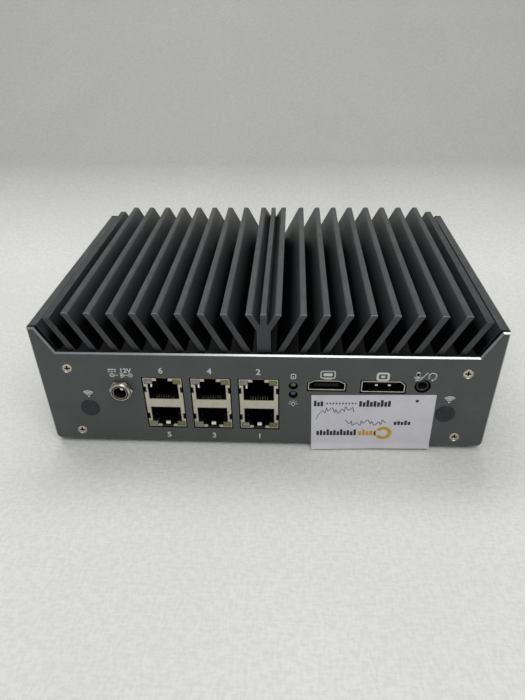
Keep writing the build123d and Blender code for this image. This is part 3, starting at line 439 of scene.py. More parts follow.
# Each mouth below paints shade: the colour darkens with depth inside the screws' cross recesses and
# inside the sockets.
plated("screw_steel", rgb(0.56, 0.52, 0.42), 0.34, 0.40, mouth=(0.10 * MM, 0.45 * MM, 0.05))
plated("screw_black", grey(0.05), 0.42, 0.2)
plated("board_steel", grey(0.62, 0.02), 0.30)
plated("pin_brass", rgb(0.80, 0.74, 0.58), 0.16, 0.1)
plated(
    "shield_nickel", rgb(0.60, 0.57, 0.48), 0.34, 0.22, mouth=(0.22 * MM, 1.1 * MM, 0.07), fold_shadow=True
)
plated("contact_gold", rgb(0.86, 0.80, 0.62), 0.26, 0.1, 0.00005, (2.0 * MM, 2.9 * MM, 0.02))
plated("spring_steel", grey(0.50), 0.28)
plated("block_aluminium", grey(0.72), 0.30, 0.1)
plated("cell_steel", grey(0.66, 0.02), 0.24, 0.15)
moulded("rubber_black", rgb(0.019, 0.020, 0.024), 0.55, 0.0003, 0.4, 0.35)
moulded("insert_black", grey(0.008), 0.50, 0.0003, specular=0.18, mouth=(0.4 * MM, 2.5 * MM, 0.12))
moulded("tongue_blue", rgb(0.015, 0.075, 0.40), 0.40, 0.0003)
moulded("socket_black", grey(0.014), 0.38, 0.0003)
moulded("chip_black", grey(0.02), 0.50, 0.0002, 0.35)
moulded("pad_grey", rgb(0.30, 0.32, 0.35), 0.70, 0.0005, 0.4)
lens("light_clear", rgb(0.27, 0.265, 0.225), 0.50, 0.05)
lens("light_lime", rgb(0.17, 0.175, 0.020), 0.50, 0.05)
lens("light_olive", rgb(0.11, 0.105, 0.016), 0.45, 0.10)
lens("light_teal", rgb(0.018, 0.060, 0.064), 0.45, 0.10)
PRINT_WHITE = ink("print_white", rgb(0.56, 0.57, 0.56))
# Painted highlight: a brighter copy of the shield's nickel for the spring fingers, so that they glint,
# with painted shade only deeper in.
SPRING_PAINTED_BRIGHT = plated(
    "spring_painted_bright", rgb(0.93, 0.91, 0.86), 0.30, 0.1, mouth=(1.7 * MM, 2.6 * MM, 0.04)
)
INK_BLACK = ink("ink_black", rgb(0.018, 0.018, 0.020))
INK_PEN = ink("ink_pen", rgb(0.055, 0.055, 0.13), 0.4)
INK_OCHRE = ink("ink_ochre", rgb(0.50, 0.30, 0.035))


def paint_cad_nodes():
    """Gives every CAD node the finish of its slot in the record."""
    for row in frame["record"]["subparts"]:
        node = frame["nodes"][row["node"]]
        for slot in node.material_slots:
            slot.material = FINISHES[row["material_slot"]]


# ---- mesh helpers


def saved(mesh, name):
    """A mesh from a bmesh, which is freed."""
    data = bpy.data.meshes.new(name)
    mesh.to_mesh(data)
    mesh.free()
    return data


def linked(name, data):
    """A new object in the scene."""
    made = bpy.data.objects.new(name, data)
    bpy.context.scene.collection.objects.link(made)
    return made


def skin(mesh, rings, ring=False):
    """Faces between closed rows of vertices. A ring joins the last row to the first."""
    for first, second in zip(rings, rings[1:] + (rings[:1] if ring else [])):
        for index in range(len(first)):
            after = (index + 1) % len(first)
            mesh.faces.new((first[index], first[after], second[after], second[index]))


def piece(name, mesh, slot, material=None):
    """An object from a bmesh, which rides on the case."""
    bmesh.ops.remove_doubles(mesh, verts=mesh.verts, dist=1e-7)
    bmesh.ops.recalc_face_normals(mesh, faces=mesh.faces)
    shown = linked(name, saved(mesh, name))
    shown.data.materials.append(material or FINISHES[slot])
    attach(shown, BODY)
    return shown


# How far printed shapes start and end above the surface that they are printed on.
INK_BASE, INK_TOP = 0.004 * MM, 0.03 * MM


class Print:
    """Printed shapes, drawn in millimetres about a place on a surface, as thin raised solids."""

    def __init__(self, place):
        self.place = place
        self.mesh = bmesh.new()

    def polygon(self, points):
        """One filled shape, given by its outline."""
        low = [self.mesh.verts.new(self.place(x, z, INK_BASE)) for x, z in points]
        high = [self.mesh.verts.new(self.place(x, z, INK_TOP)) for x, z in points]
        self.mesh.faces.new(high)
        self.mesh.faces.new(low[::-1])
        skin(self.mesh, [low, high])

    def band(self, inner, outer, closed):
        """A filled strip between two lines with the same number of points."""
        rows = []
        for (x0, z0), (x1, z1) in zip(inner, outer):
            corners = ((x0, z0, INK_BASE), (x0, z0, INK_TOP), (x1, z1, INK_TOP), (x1, z1, INK_BASE))
            rows.append([self.mesh.verts.new(self.place(*corner)) for corner in corners])
        skin(self.mesh, rows, closed)
        if not closed:
            self.mesh.faces.new(rows[0][::-1])
            self.mesh.faces.new(rows[-1])

    def stroke(self, points, width, closed=False):
        """A line of this width through the points."""
        count = len(points)
        left, right = [], []
        for index, (x, z) in enumerate(points):
            before = points[index - 1] if index or closed else points[index]
            after = points[(index + 1) % count] if index < count - 1 or closed else points[index]
            run = Vector((x - before[0], z - before[1]))
            way = Vector((after[0] - x, after[1] - z))
            run = run.normalized() if run.length else way.normalized()
            way = way.normalized() if way.length else run
            bisector = (run + way).normalized()
            side = Vector((-bisector.y, bisector.x))
            reach = width / 2 / max(0.5, bisector.dot(run))
            left.append((x + side.x * reach, z + side.y * reach))
            right.append((x - side.x * reach, z - side.y * reach))
        self.band(left, right, closed)

    def arc(self, x, z, radius, width, start=0.0, end=360.0):
        """A round line about a centre, from one angle to another in degrees."""
        whole = end - start >= 360
        steps = max(8, int((end - start) / 9))
        count = steps if whole else steps + 1
        turns = [radians(start + (end - start) * index / steps) for index in range(count)]
        inner, outer = (
            [(x + reach * cos(t), z + reach * sin(t)) for t in turns]
            for reach in (radius - width / 2, radius + width / 2)
        )
        self.band(inner, outer, whole)

    def disc(self, x, z, radius):
        turns = [radians(15 * index) for index in range(24)]
        self.polygon([(x + radius * cos(t), z + radius * sin(t)) for t in turns])

    def box(self, x, z, width, height):
        """A filled rectangle about a centre."""
        w, h = width / 2, height / 2
        self.polygon([(x - w, z - h), (x + w, z - h), (x + w, z + h), (x - w, z + h)])

    def frame(self, x, z, width, height, line, corner):
        """The outline of a rectangle with round corners."""
        points = []
        for turn, (side, up) in enumerate(((1, 1), (-1, 1), (-1, -1), (1, -1))):
            for step in range(4):
                angle = radians(90 * turn + 30 * step)
                points.append((
                    x + side * (width / 2 - corner) + corner * cos(angle),
                    z + up * (height / 2 - corner) + corner * sin(angle),
                ))
        self.stroke(points, line, closed=True)

    def text(self, words, x, z, height, weight):
        """Plain characters about a centre, this high."""
        curve = bpy.data.curves.new("words", "FONT")
        curve.body = words
        curve.align_x, curve.align_y = "CENTER", "CENTER"
        curve.resolution_u = 4
        curve.offset = weight
        holder = linked("words", curve)
        bpy.context.view_layer.update()
        flat = bpy.data.meshes.new_from_object(holder)
        bpy.data.objects.remove(holder)
        ups = [vertex.co.y for vertex in flat.vertices]
        acrosses = [vertex.co.x for vertex in flat.vertices]
        scale = height / (max(ups) - min(ups))
        centre = Vector(((max(acrosses) + min(acrosses)) / 2, (max(ups) + min(ups)) / 2, 0))
        letters = bmesh.new()
        letters.from_mesh(flat)
        bmesh.ops.remove_doubles(letters, verts=letters.verts, dist=1e-5)
        raised = bmesh.ops.extrude_face_region(letters, geom=letters.faces[:])["geom"]
        tops = {item for item in raised if isinstance(item, bmesh.types.BMVert)}
        for vertex in letters.verts:
            at = (vertex.co - centre) * scale
            vertex.co = self.place(x + at.x, z + at.y, INK_TOP if vertex in tops else INK_BASE)
        extra = saved(letters, "letters")
        self.mesh.from_mesh(extra)
        bpy.data.meshes.remove(extra)
        bpy.data.meshes.remove(flat)

    def done(self, name, slot="panel_grey", material=PRINT_WHITE):
        piece(name, self.mesh, slot, material)


def panel_print(x, z, side=1):
    """A print about a place on the front panel. A side of -1 puts it on the rear panel, where it is
    read the other way round."""
    y = FRONT_Y if side > 0 else REAR_Y
    return Print(lambda across, up, lift: Vector(
        (x + side * across * MM, y - side * lift, z + up * MM)
    ))


def lathe(profile, centre, outward, segments=48, ring=False):
    """A bmesh turned about an axis: profile points are (radius, distance along outward) in metres.
    A radius of zero closes the end, and a ring joins the last point to the first."""
    mesh = bmesh.new()
    axis = Vector(outward)
    side = Vector((1, 0, 0)) if abs(axis.x) < 0.5 else Vector((0, 1, 0))
    other = axis.cross(side)
    rings = []
    for radius, along in profile:
        if radius <= 0:
            rings.append([mesh.verts.new(centre + axis * along)])
            continue
        turns = [2 * pi * index / segments for index in range(segments)]
        ways = [side * cos(t) + other * sin(t) for t in turns]
        rings.append([mesh.verts.new(centre + axis * along + radius * way) for way in ways])
    for first, second in zip(rings, rings[1:] + (rings[:1] if ring else [])):
        for index in range(segments):
            after = (index + 1) % segments
            loop = [first[index % len(first)], first[after % len(first)]]
            loop += [second[after % len(second)], second[index % len(second)]]
            corners = list(dict.fromkeys(loop))
            if len(corners) > 2:
                mesh.faces.new(corners)
    return mesh


def joined(meshes):
    """Several bmeshes as one."""
    whole = bmesh.new()
    for part in meshes:
        extra = saved(part, "part")
        whole.from_mesh(extra)
        bpy.data.meshes.remove(extra)
    return whole


def lathes(profile, places, outward, segments):
    """The same turned shape at several places, as one bmesh."""
    return joined([lathe(profile, place, outward, segments) for place in places])


def in_metres(profile):
    return [(radius * MM, along * MM) for radius, along in profile]


def four_below(node, inset):
    """Four places on the underside of a CAD node's box, this far in from its sides."""
    low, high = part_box(node)
    return [
        Vector((x, y, low.z))
        for x in (low.x + inset, high.x - inset)
        for y in (low.y + inset, high.y - inset)
    ]


def auto_smooth(shown, degrees):
    """Smooth shading, with edges sharper than this kept sharp."""
    mesh = shown.data
    mesh.shade_smooth()
    mesh.set_sharp_from_angle(angle=radians(degrees))


# ---- printed marks


def port_numbers():
    """A number above and below each network stack."""
    for index in (1, 2, 3):
        low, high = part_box(f"lan_shield_{index}")
        centre = middle(f"lan_shield_{index}")
        upper = (8 - 2 * index, high.z + 3.9 * MM, "upper")
        lower = (7 - 2 * index, low.z - 4.5 * MM, "lower")
        for number, height, tier in (upper, lower):
            mark = panel_print(centre.x, height)
            mark.text(str(number), 0, 0, 2.9, 0.022)
            mark.done(f"port_number_{tier}_{index}")


def inlet_marks():
    """The inlet's rating and the polarity of its plug."""
    pin = middle("inlet_pin")
    mark = panel_print(pin.x + 0.8 * MM, pin.z)
    mark.box(-3.3, 10.15, 3.4, 0.48)
    for x in (-4.6, -3.3, -2.0):
        mark.box(x, 9.15, 0.8, 0.48)
    mark.text("12V", 2.5, 9.6, 2.3, 0.030)
    mark.arc(-3.6, 7.3, 0.85, 0.32)
    mark.box(-3.6, 7.3, 0.8, 0.26)
    mark.box(-1.75, 7.3, 1.5, 0.30)
    mark.disc(0.35, 7.3, 0.55)
    mark.arc(0.35, 7.3, 1.0, 0.32, -130, 130)
    mark.box(2.1, 7.3, 1.5, 0.30)
    mark.arc(3.95, 7.3, 0.85, 0.32)
    mark.box(3.95, 7.3, 0.8, 0.26)
    mark.box(3.95, 7.3, 0.26, 0.8)
    mark.done("inlet_marks")


def wireless_marks():
    """A fan of waves above each antenna plug."""
    low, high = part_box("antenna_plugs")
    radius = (high.z - low.z) / 2
    for name, x in (("left", low.x + radius), ("right", high.x - radius)):
        mark = panel_print(x + 0.6 * MM, (low.z + high.z) / 2)
        foot = 6.2
        mark.disc(0, foot, 0.40)
        for wave in (1.25, 2.05, 2.85):
            mark.arc(0, foot, wave, 0.50, 44, 136)
        mark.done(f"wireless_mark_{name}")


def light_marks():
    """A disk above the upper light and a lamp below the lower one."""
    across = middle("disk_light").x
    top = panel_print(across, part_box("disk_light")[1].z)
    top.frame(0, 1.95, 1.8, 2.2, 0.36, 0.4)
    top.box(0, 1.75, 0.55, 0.55)
    top.done("disk_mark")
    lamp = panel_print(across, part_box("power_light")[0].z)
    lamp.arc(0, -2.7, 0.75, 0.32, -50, 230)
    lamp.box(0, -3.75, 0.8, 0.32)
    for turn in range(5):
        angle = radians(45 * turn)
        lamp.stroke([(r * cos(angle), -2.7 + r * sin(angle)) for r in (1.35, 1.95)], 0.30)
    lamp.done("lamp_mark")


def video_marks():
    """A plain screen above each video socket: one outlined, one solid."""
    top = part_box("video_socket_shell")[1].z
    first = panel_print(middle("video_socket_shell").x, top)
    first.frame(0.3, 3.1, 5.6, 3.3, 0.42, 0.4)
    first.box(0.3, 3.1, 3.5, 1.4)
    first.box(0.3, 0.95, 3.0, 0.42)
    first.done("screen_mark_1")
    second = panel_print(middle("display_socket_shell").x, top)
    second.frame(-0.5, 2.45, 4.3, 3.3, 0.9, 0.75)
    second.box(-0.5, 2.45, 1.5, 1.1)
    second.box(-0.5, 0.35, 2.4, 0.4)
    second.done("screen_mark_2")


def audio_marks():
    """A microphone, a slash and a headset above the audio socket."""
    mark = panel_print(middle("audio_socket").x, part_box("audio_socket")[1].z)
    mid = 2.2
    mark.disc(-2.45, mid + 1.45, 0.78)
    mark.box(-2.45, mid + 0.75, 1.56, 1.4)
    mark.disc(-2.45, mid + 0.05, 0.78)
    mark.arc(-2.45, mid + 0.15, 1.35, 0.34, 190, 350)
    mark.box(-2.45, mid - 1.55, 0.36, 0.7)
    mark.box(-2.45, mid - 2.0, 1.8, 0.36)
    mark.stroke([(-1.6, mid - 2.1), (1.3, mid + 2.0)], 0.34)
    mark.arc(3.3, mid + 0.25, 1.45, 0.42, -35, 215)
    mark.box(2.0, mid - 0.45, 0.75, 1.0)
    mark.box(4.6, mid - 0.45, 0.75, 1.0)
    mark.arc(3.3, mid - 0.35, 1.35, 0.28, -75, -20)
    mark.disc(3.45, mid - 1.75, 0.45)
    mark.done("audio_marks")


def rear_marks():
    """Plain symbols beside the rear button and sockets."""
    button = middle("power_button")
    power = panel_print(button.x, button.z, -1)
    power.arc(0, 11.2, 1.3, 0.4, 125, 415)
    power.box(0, 12.2, 0.4, 1.7)
    power.done("power_mark")
    for index in (1, 2):
        shell = f"usb_shell_{index}"
        fork = panel_print(middle(shell).x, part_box(shell)[0].z, -1)
        fork.stroke([(0, -5.6), (0, -2.2)], 0.32)
        fork.polygon([(-0.6, -2.4), (0.6, -2.4), (0, -1.4)])
        fork.disc(0, -5.7, 0.55)
        fork.stroke([(0, -4.9), (-1.1, -4.2), (-1.1, -3.5)], 0.3)
        fork.disc(-1.1, -3.3, 0.42)
        fork.stroke([(0, -4.4), (1.1, -3.8), (1.1, -3.0)], 0.3)
        fork.box(1.1, -2.8, 0.75, 0.75)
        fork.done(f"data_mark_{index}")
    screen = panel_print(middle("console_shield").x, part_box("console_shield")[0].z, -1)
    screen.frame(0, -3.9, 4.2, 3.0, 0.36, 0.4)
    screen.stroke([(-1.2, -3.2), (-0.5, -3.9), (-1.2, -4.6)], 0.34)
    screen.box(0.6, -4.5, 1.1, 0.3)
    screen.done("console_mark")


# ---- price label

LABEL_TILT = radians(1.3)
LABEL_WIDTH, LABEL_HEIGHT = 50.6, 28.9
# Each printed bar on the label: its left, its right, its middle's height and its own height.
LABEL_BARS = (
    (-24.4, -20.3, 10.1, 3.0),
    (-5.8, 7.4, 10.1, 3.5),
    (9.2, 16.4, -0.3, 2.4),
    (-23.2, -6.0, -5.7, 3.3),
)


def label_place(x, z, lift=0.0):
    """A place on the paper label, in millimetres from its middle: it lies on the panel, and its
    lower edge and left corner curl away from it."""
    centre = middle("paper_label")
    below = max(0.0, (3.6 - (z + LABEL_HEIGHT / 2)) / 3.6)
    corner = max(0.0, 1 - (x + LABEL_WIDTH / 2) / 26)
    curl = (0.55 + 1.0 * corner) * below ** 2
    ripple = 0.02 * sin(0.35 * x) * sin(0.22 * z + 1.0)
    out = 0.10 + curl + max(0.0, ripple)
    shortened = z + 0.35 * corner * below
    across = x * cos(LABEL_TILT) - shortened * sin(LABEL_TILT)
    up = x * sin(LABEL_TILT) + shortened * cos(LABEL_TILT)
    return Vector((centre.x + across * MM, FRONT_Y - out * MM - lift, centre.z + up * MM))


def label_sheet():
    """The paper itself, a thin sheet that curls with the label."""
    columns, rows = 60, 40
    mesh = bmesh.new()
    thickness = 0.08 * MM
    front, back = [], []
    for row in range(rows + 1):
        z = LABEL_HEIGHT * (row / rows - 0.5)
        for column in range(columns + 1):
            x = LABEL_WIDTH * (column / columns - 0.5)
            front.append(mesh.verts.new(label_place(x, z)))
            back.append(mesh.verts.new(label_place(x, z, -thickness)))
    wide = columns + 1
    for row in range(rows):
        for column in range(columns):
            a = row * wide + column
            loop = (a, a + 1, a + wide + 1, a + wide)
            mesh.faces.new([front[i] for i in loop])
            mesh.faces.new([back[i] for i in loop[::-1]])
    rim = list(range(wide))
    rim += [row * wide + columns for row in range(1, rows + 1)]
    rim += [rows * wide + column for column in range(columns - 1, -1, -1)]
    rim += [row * wide for row in range(rows - 1, 0, -1)]
    for first, second in zip(rim, rim[1:] + rim[:1]):
        mesh.faces.new((front[first], back[first], back[second], front[second]))
    sheet = piece("price_label", mesh, "paper_white")
    auto_smooth(sheet, 50)
    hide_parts("paper_label")


def pen_line(mark, start, end, height, strokes, width=0.32):
    """A pen scribble between two places: uneven zigzags, and no characters."""
    points = []
    for step in range(strokes + 1):
        share = step / strokes
        swing = (-1) ** step * (0.55 + 0.45 * sin(2.3 * step + start[0]))
        lean = 0.5 * sin(1.7 * step + start[1])
        x = start[0] + (end[0] - start[0]) * share + lean
        points.append((x, start[1] + (end[1] - start[1]) * share + height / 2 * swing))
    eased = []
    for first, second in zip(points, points[1:]):
        for part in range(5):
            share = (1 - cos(pi * part / 5)) / 2
            along = part / 5
            x = first[0] + (second[0] - first[0]) * along
            eased.append((x, first[1] + (second[1] - first[1]) * share))
    mark.stroke(eased + [points[-1]], width)


def label_marks():
    """Plain bars where the label is printed, a dotted rule, pen scribbles and a round stamp."""
    black = Print(label_place)
    for left, right, z, height in LABEL_BARS:
        blocks = round((right - left) / 1.45)
        pitch = (right - left) / blocks
        for index in range(blocks):
            share = (1.0, 0.72, 0.86, 0.68)[(index + round(left)) % 4]
            middle_x, middle_z = left + (index + 0.5) * pitch, z - (1 - share) * height / 2
            black.box(middle_x, middle_z, pitch * 0.76, height * share)
    for index in range(10):
        black.box(-18.8 + 1.3 * index, 10.1, 0.55, 0.9)
    black.disc(17.8, 11.3, 0.7)
    black.done("label_print", "paper_white", INK_BLACK)
    pen = Print(label_place)
    pen_line(pen, (-21.0, 6.2), (-7.6, 6.8), 3.4, 13)
    pen.stroke([(-23.2, 1.6), (-22.6, 3.4), (-21.8, 4.9), (-20.9, 5.8)], 0.24)
    pen_line(pen, (-10.8, -0.5), (6.0, -0.1), 3.2, 15)
    pen.done("label_pen", "paper_white", INK_PEN)
    stamp = Print(label_place)
    for index, share in enumerate((0.75, 1.0, 0.7, 0.8, 0.7)):
        stamp.box(-4.6 + 1.6 * index, -5.7 - (1 - share) * 1.65, 1.25, 3.3 * share)
    stamp.arc(5.3, -6.0, 2.7, 1.6, -150, 150)
    stamp.arc(4.9, -6.0, 3.2, 0.5, 150, 210)
    stamp.done("label_stamp", "paper_white", INK_OCHRE)


# ---- screws


def cross_cutter(centre, outward, span, arm, depth):
    """A tapered cross, the shape of a cross-head driver's tip."""
    mesh = bmesh.new()
    axis = Vector(outward)
    side = Vector((1, 0, 0))
    other = axis.cross(side)
    outline = []
    for turn in range(4):
        angle = radians(90 * turn)
        for along, across in ((span, -arm), (span, arm), (arm, arm)):
            x = along * cos(angle) - across * sin(angle)
            y = along * sin(angle) + across * cos(angle)
            outline.append((x, y))
    rings = []
    for lift, share in ((0.4 * depth, 1.15), (0.0, 1.0), (-0.75 * depth, 0.5), (-depth, 0.3)):
        at = centre + axis * lift
        rings.append([mesh.verts.new(at + share * (side * x + other * y)) for x, y in outline])
    skin(mesh, rings)
    mesh.faces.new(rings[0])
    mesh.faces.new(rings[-1][::-1])
    bmesh.ops.recalc_face_normals(mesh, faces=mesh.faces)
    return mesh


def screw_profile(radius, head, length, dome=0.0):
    """Profile of a threaded screw with a countersunk head, from its head's middle to its tip."""
    profile = [(0, dome), (head * 0.55, dome * 0.7), (head * 0.93, 0.0)]
    profile += [(head, -0.06 * head), (head, -0.10 * head), (radius, -HEAD_DEPTH)]
    pitch = 0.5 * MM
    groove = 0.16 * MM
    along = -HEAD_DEPTH - 0.4 * MM
    while along > -length + 2 * pitch:
        profile += [(radius, along), (radius - groove, along - pitch / 2)]
        along -= pitch
    profile += [(radius - groove, -length + 0.6 * MM), (radius * 0.6, -length), (0, -length)]
    return profile


def cut(shown, cutter_mesh):
    """Takes a shape out of a piece with a boolean, and applies it."""
    data = saved(cutter_mesh, "cutter")
    cutter = linked("cutter", data)
    modifier = shown.modifiers.new("cut", "BOOLEAN")
    modifier.operation = "DIFFERENCE"
    modifier.object = cutter
    modifier.solver = "EXACT"
    bpy.context.view_layer.update()
    graph = bpy.context.evaluated_depsgraph_get()
    result = bpy.data.meshes.new_from_object(shown.evaluated_get(graph))
    shown.modifiers.clear()
    old = shown.data
    shown.data = result
    bpy.data.meshes.remove(old)
    bpy.data.objects.remove(cutter)
    bpy.data.meshes.remove(data)


def cross_screws(node, slot, profile, places, outward, cross):
    """Countersunk screws with these cross recesses, which stand for a node's four."""
    shown = piece(node + "_detailed", lathes(profile, places, outward, 40), slot)
    cut(shown, joined([cross_cutter(place, outward, *cross) for place in places]))
    auto_smooth(shown, 30)
    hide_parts(node)


def panel_screws(node, outward):
    """A panel's four screws, with slightly domed heads."""
    profile = screw_profile(PANEL_SCREW, PANEL_HEAD, PANEL_SCREW_LENGTH, dome=0.16 * MM)
    low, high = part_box(node)
    y = low.y if outward.y < 0 else high.y
    places = [
        Vector((x, y, z))
        for x in (low.x + PANEL_HEAD, high.x - PANEL_HEAD)
        for z in (low.z + PANEL_HEAD, high.z - PANEL_HEAD)
    ]
    cross = (1.25 * MM, 0.36 * MM, 1.1 * MM)
    cross_screws(node, "screw_steel", profile, places, outward, cross)


def cover_screws():
    """The cover's countersunk screws, seen from below."""
    node = "bottom_cover_screws"
    profile = screw_profile(COVER_SCREW, COVER_HEAD, COVER_SCREW_LENGTH)
    cross = (1.7 * MM, 0.40 * MM, 1.1 * MM)
    cross_screws(node, "screw_black", profile, four_below(node, COVER_HEAD), DOWN, cross)


# ---- sockets


def strip(points, width, thickness, across):
    """A bmesh of bent sheet: it follows the points, and is this wide along a fixed direction."""
    mesh = bmesh.new()
    across = Vector(across)
    half = across * (width / 2)
    rows = []
    for index, point in enumerate(points):
        before, after = points[max(0, index - 1)], points[min(len(points) - 1, index + 1)]
        side = (Vector(after) - Vector(before)).cross(across).normalized() * (thickness / 2)
        corners = (half + side, half - side, -half - side, -half + side)
        rows.append([mesh.verts.new(Vector(point) + corner) for corner in corners])
    skin(mesh, rows)
    mesh.faces.new(rows[0][::-1])
    mesh.faces.new(rows[-1])
    return mesh


def shield_springs():
    """Bent spring fingers at both sides of each port's mouth, and one in each lower latch slot.
    Each bend is a distance in from the shield's side and one behind its mouth, in millimetres."""
    for index in (1, 2, 3):
        low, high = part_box(f"lan_shield_{index}")
        centre = (low + high) / 2
        y = low.y
        half, tall = (high.x - low.x) / 2, (high.z - low.z) / 2
        made = []
        for side in (-1, 1):
            for tier in (-1, 1):
                set_back = 0.0 if (side, tier) == (-1, 1) else 1.8
                x, z = centre.x + side * half, centre.z + tier * (tall - 4.3 * MM)
                bends = ((2.75, 0.9), (3.35, 0.95), (3.5, 1.4), (3.2, 3.0), (2.3, 5.0))
                points = [(x - side * a * MM, y + (b + set_back) * MM, z) for a, b in bends]
                made.append(strip(points, 2.1 * MM, 0.18 * MM, (0, 0, 1)))
        bends = ((0.75, 0.9), (1.45, 0.95), (1.9, 1.25), (2.1, 2.4), (1.6, 4.6))
        points = [(centre.x, y + b * MM, centre.z - tall + a * MM) for a, b in bends]
        made.append(strip(points, 1.9 * MM, 0.18 * MM, (1, 0, 0)))
        # The springs take the brighter nickel copy, a painted highlight.
        shown = piece(f"shield_springs_{index}", joined(made), "shield_nickel", SPRING_PAINTED_BRIGHT)
        auto_smooth(shown, 40)


def lamp_walls():
    """The thin black walls between the port lights and the plug cavities."""
    for index in (1, 2, 3):
        made = []
        for lights in (f"lan_link_lights_{index}", f"lan_activity_lights_{index}"):
            near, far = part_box(lights)
            x, width = (near.x + far.x) / 2, far.x - near.x
            for z in (near.z + LAMP_HEIGHT, far.z - LAMP_HEIGHT):
                points = [(x, near.y + share * (far.y - near.y), z) for share in (0.02, 0.5, 1.0)]
                made.append(strip(points, width, 0.35 * MM, (1, 0, 0)))
        piece(f"lamp_walls_{index}", joined(made), "insert_black")


def socket_contacts(name, node, count, pitch, width, rows):
    """Rows of gold contacts lying on a socket's tongue. Each row is a height and a side."""
    low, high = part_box(node)
    y, inward = (low.y, 1) if low.y < 0 else (high.y, -1)
    made = []
    for height, lift in rows:
        for index in range(count):
            x = (low.x + high.x) / 2 + (index - (count - 1) / 2) * pitch * MM
            bends = ((-0.02, 0.5), (0.06, 0.9), (0.06, 4.5), (0.02, 6.0))
            points = [(x, y + inward * b * MM, height + lift * a * MM) for a, b in bends]
            made.append(strip(points, width * MM, 0.10 * MM, (1, 0, 0)))
    piece(name, joined(made), "contact_gold")


def all_contacts():
    """Contacts on the tongues of the video and data sockets."""
    for kind, pitch in (("video", 0.92), ("display", 1.1)):
        node = f"{kind}_socket_tongue"
        top = middle(node).z + 0.85 * MM
        rows = ((top, 1), (top - 1.7 * MM, -1))
        socket_contacts(f"{kind}_contacts", node, 10, pitch, 0.34, rows)
    for index in (1, 2):
        node = f"usb_tongues_{index}"
        low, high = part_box(node)
        rows = ((low.z + 2.2 * MM, -1), (high.z - 3.9 * MM, -1))
        socket_contacts(f"usb_contacts_{index}", node, 4, 2.2, 1.0, rows)


def inlet_details():
    """A thread on the inlet's barrel and a black liner in its bore."""
    pin = middle("inlet_pin")
    front = Vector((pin.x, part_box("inlet_body")[0].y, pin.z))
    thread = [(3.62, -0.01), (3.92, -0.01), (4.08, -0.14)]
    for turn in range(2):
        thread += [(4.20, -0.34 - 0.42 * turn), (3.98, -0.55 - 0.42 * turn)]
    thread += [(3.98, -1.15), (3.62, -1.15)]
    liner = [(2.74, -0.35), (2.60, -0.30), (2.45, -0.55), (2.45, -8.9), (2.74, -8.9)]
    for name, profile, slot in (
        ("inlet_thread", thread, "plated_nickel"), ("inlet_liner", liner, "insert_black"),
    ):
        auto_smooth(piece(name, lathe(in_metres(profile), front, FORWARD, ring=True), slot), 30)


def inlet_nut():
    """The inlet's hexagon nut, with its corners chamfered on both faces."""
    pin = middle("inlet_pin")
    low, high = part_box("inlet_nut")
    flat = (high.z - low.z) / 2
    thick = high.y - low.y
    sixth = radians(60)
    mesh = bmesh.new()
    columns = []
    for turn in range(72):
        angle = radians(5 * turn)
        corner = flat / cos((angle + sixth / 2) % sixth - sixth / 2)
        chamfer = (corner - flat) * 0.58
        column = [(NUT_BORE, 0.0), (flat, 0.0), (corner, chamfer)]
        column += [(corner, thick - chamfer), (flat, thick), (NUT_BORE, thick)]
        columns.append([
            (pin.x + radius * sin(angle), high.y - along, pin.z + radius * cos(angle))
            for radius, along in column
        ])
    rings = [[mesh.verts.new(place) for place in level] for level in zip(*columns)]
    skin(mesh, rings, ring=True)
    nut = piece("inlet_nut_detailed", mesh, "plated_nickel")
    auto_smooth(nut, 25)
    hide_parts("inlet_nut")


def antenna_caps():
    """Moulded plugs: a soft-edged head with a ring and a dished middle, a stem and a barb."""
    low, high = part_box("antenna_plugs")
    radius = (high.z - low.z) / 2
    edge = radius / MM
    under, tip = (low.y - FRONT_Y) / MM, (low.y - high.y) / MM
    profile = [(0, -0.42), (1.6, -0.40), (2.15, -0.22), (2.45, 0.0), (2.8, 0.0), (3.3, -0.10)]
    profile += [(edge - 0.28, -0.30), (edge - 0.05, -0.55), (edge, -0.80), (edge, under)]
    profile += [(3.2, under), (3.2, under - 2.5), (3.68, under - 2.6), (3.2, tip), (0, tip)]
    places = [Vector((x, low.y, (low.z + high.z) / 2)) for x in (low.x + radius, high.x - radius)]
    plugs = lathes(in_metres(profile), places, FORWARD, 56)
    shown = piece("antenna_plugs_detailed", plugs, "rubber_black")
    auto_smooth(shown, 50)
    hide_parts("antenna_plugs")


def display_springs():
    """Two retaining springs behind the second video socket's mouth, in the brighter nickel that paints a
    highlight on them.
    """
    low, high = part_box("display_socket_shell")
    made = []
    for side in (-1, 1):
        x = (low.x + high.x) / 2 + side * 2.6 * MM
        bends = ((2.2, 1.0), (2.9, 1.05), (3.2, 1.5), (2.7, 3.0), (1.0, 5.0))
        points = [(x, low.y + b * MM, high.z - a * MM) for a, b in bends]
        made.append(strip(points, 1.1 * MM, 0.16 * MM, (1, 0, 0)))
    shown = piece("display_springs", joined(made), "shield_nickel", SPRING_PAINTED_BRIGHT)
    auto_smooth(shown, 40)


def feet():
    """Moulded feet with a rounded lip, a dished sole and a screw recess's rim."""
    low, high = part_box("rubber_feet")
    tall = (high.z - low.z) / MM
    edge = FOOT_RADIUS / MM
    profile = [(0, 0.5), (2.2, 0.5), (2.6, 0.3), (4.2, 0.3), (4.5, 0.04), (4.8, 0.0), (5.2, 0.0)]
    profile += [(5.55, 0.15), (5.7, 0.45), (5.95, tall - 0.35), (edge, tall - 0.1), (5.95, tall)]
    profile.append((0, tall))
    soles = lathes(in_metres(profile), four_below("rubber_feet", FOOT_RADIUS), UP, 56)
    shown = piece("rubber_feet_detailed", soles, "rubber_black")
    auto_smooth(shown, 40)
    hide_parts("rubber_feet")


# ---- scene


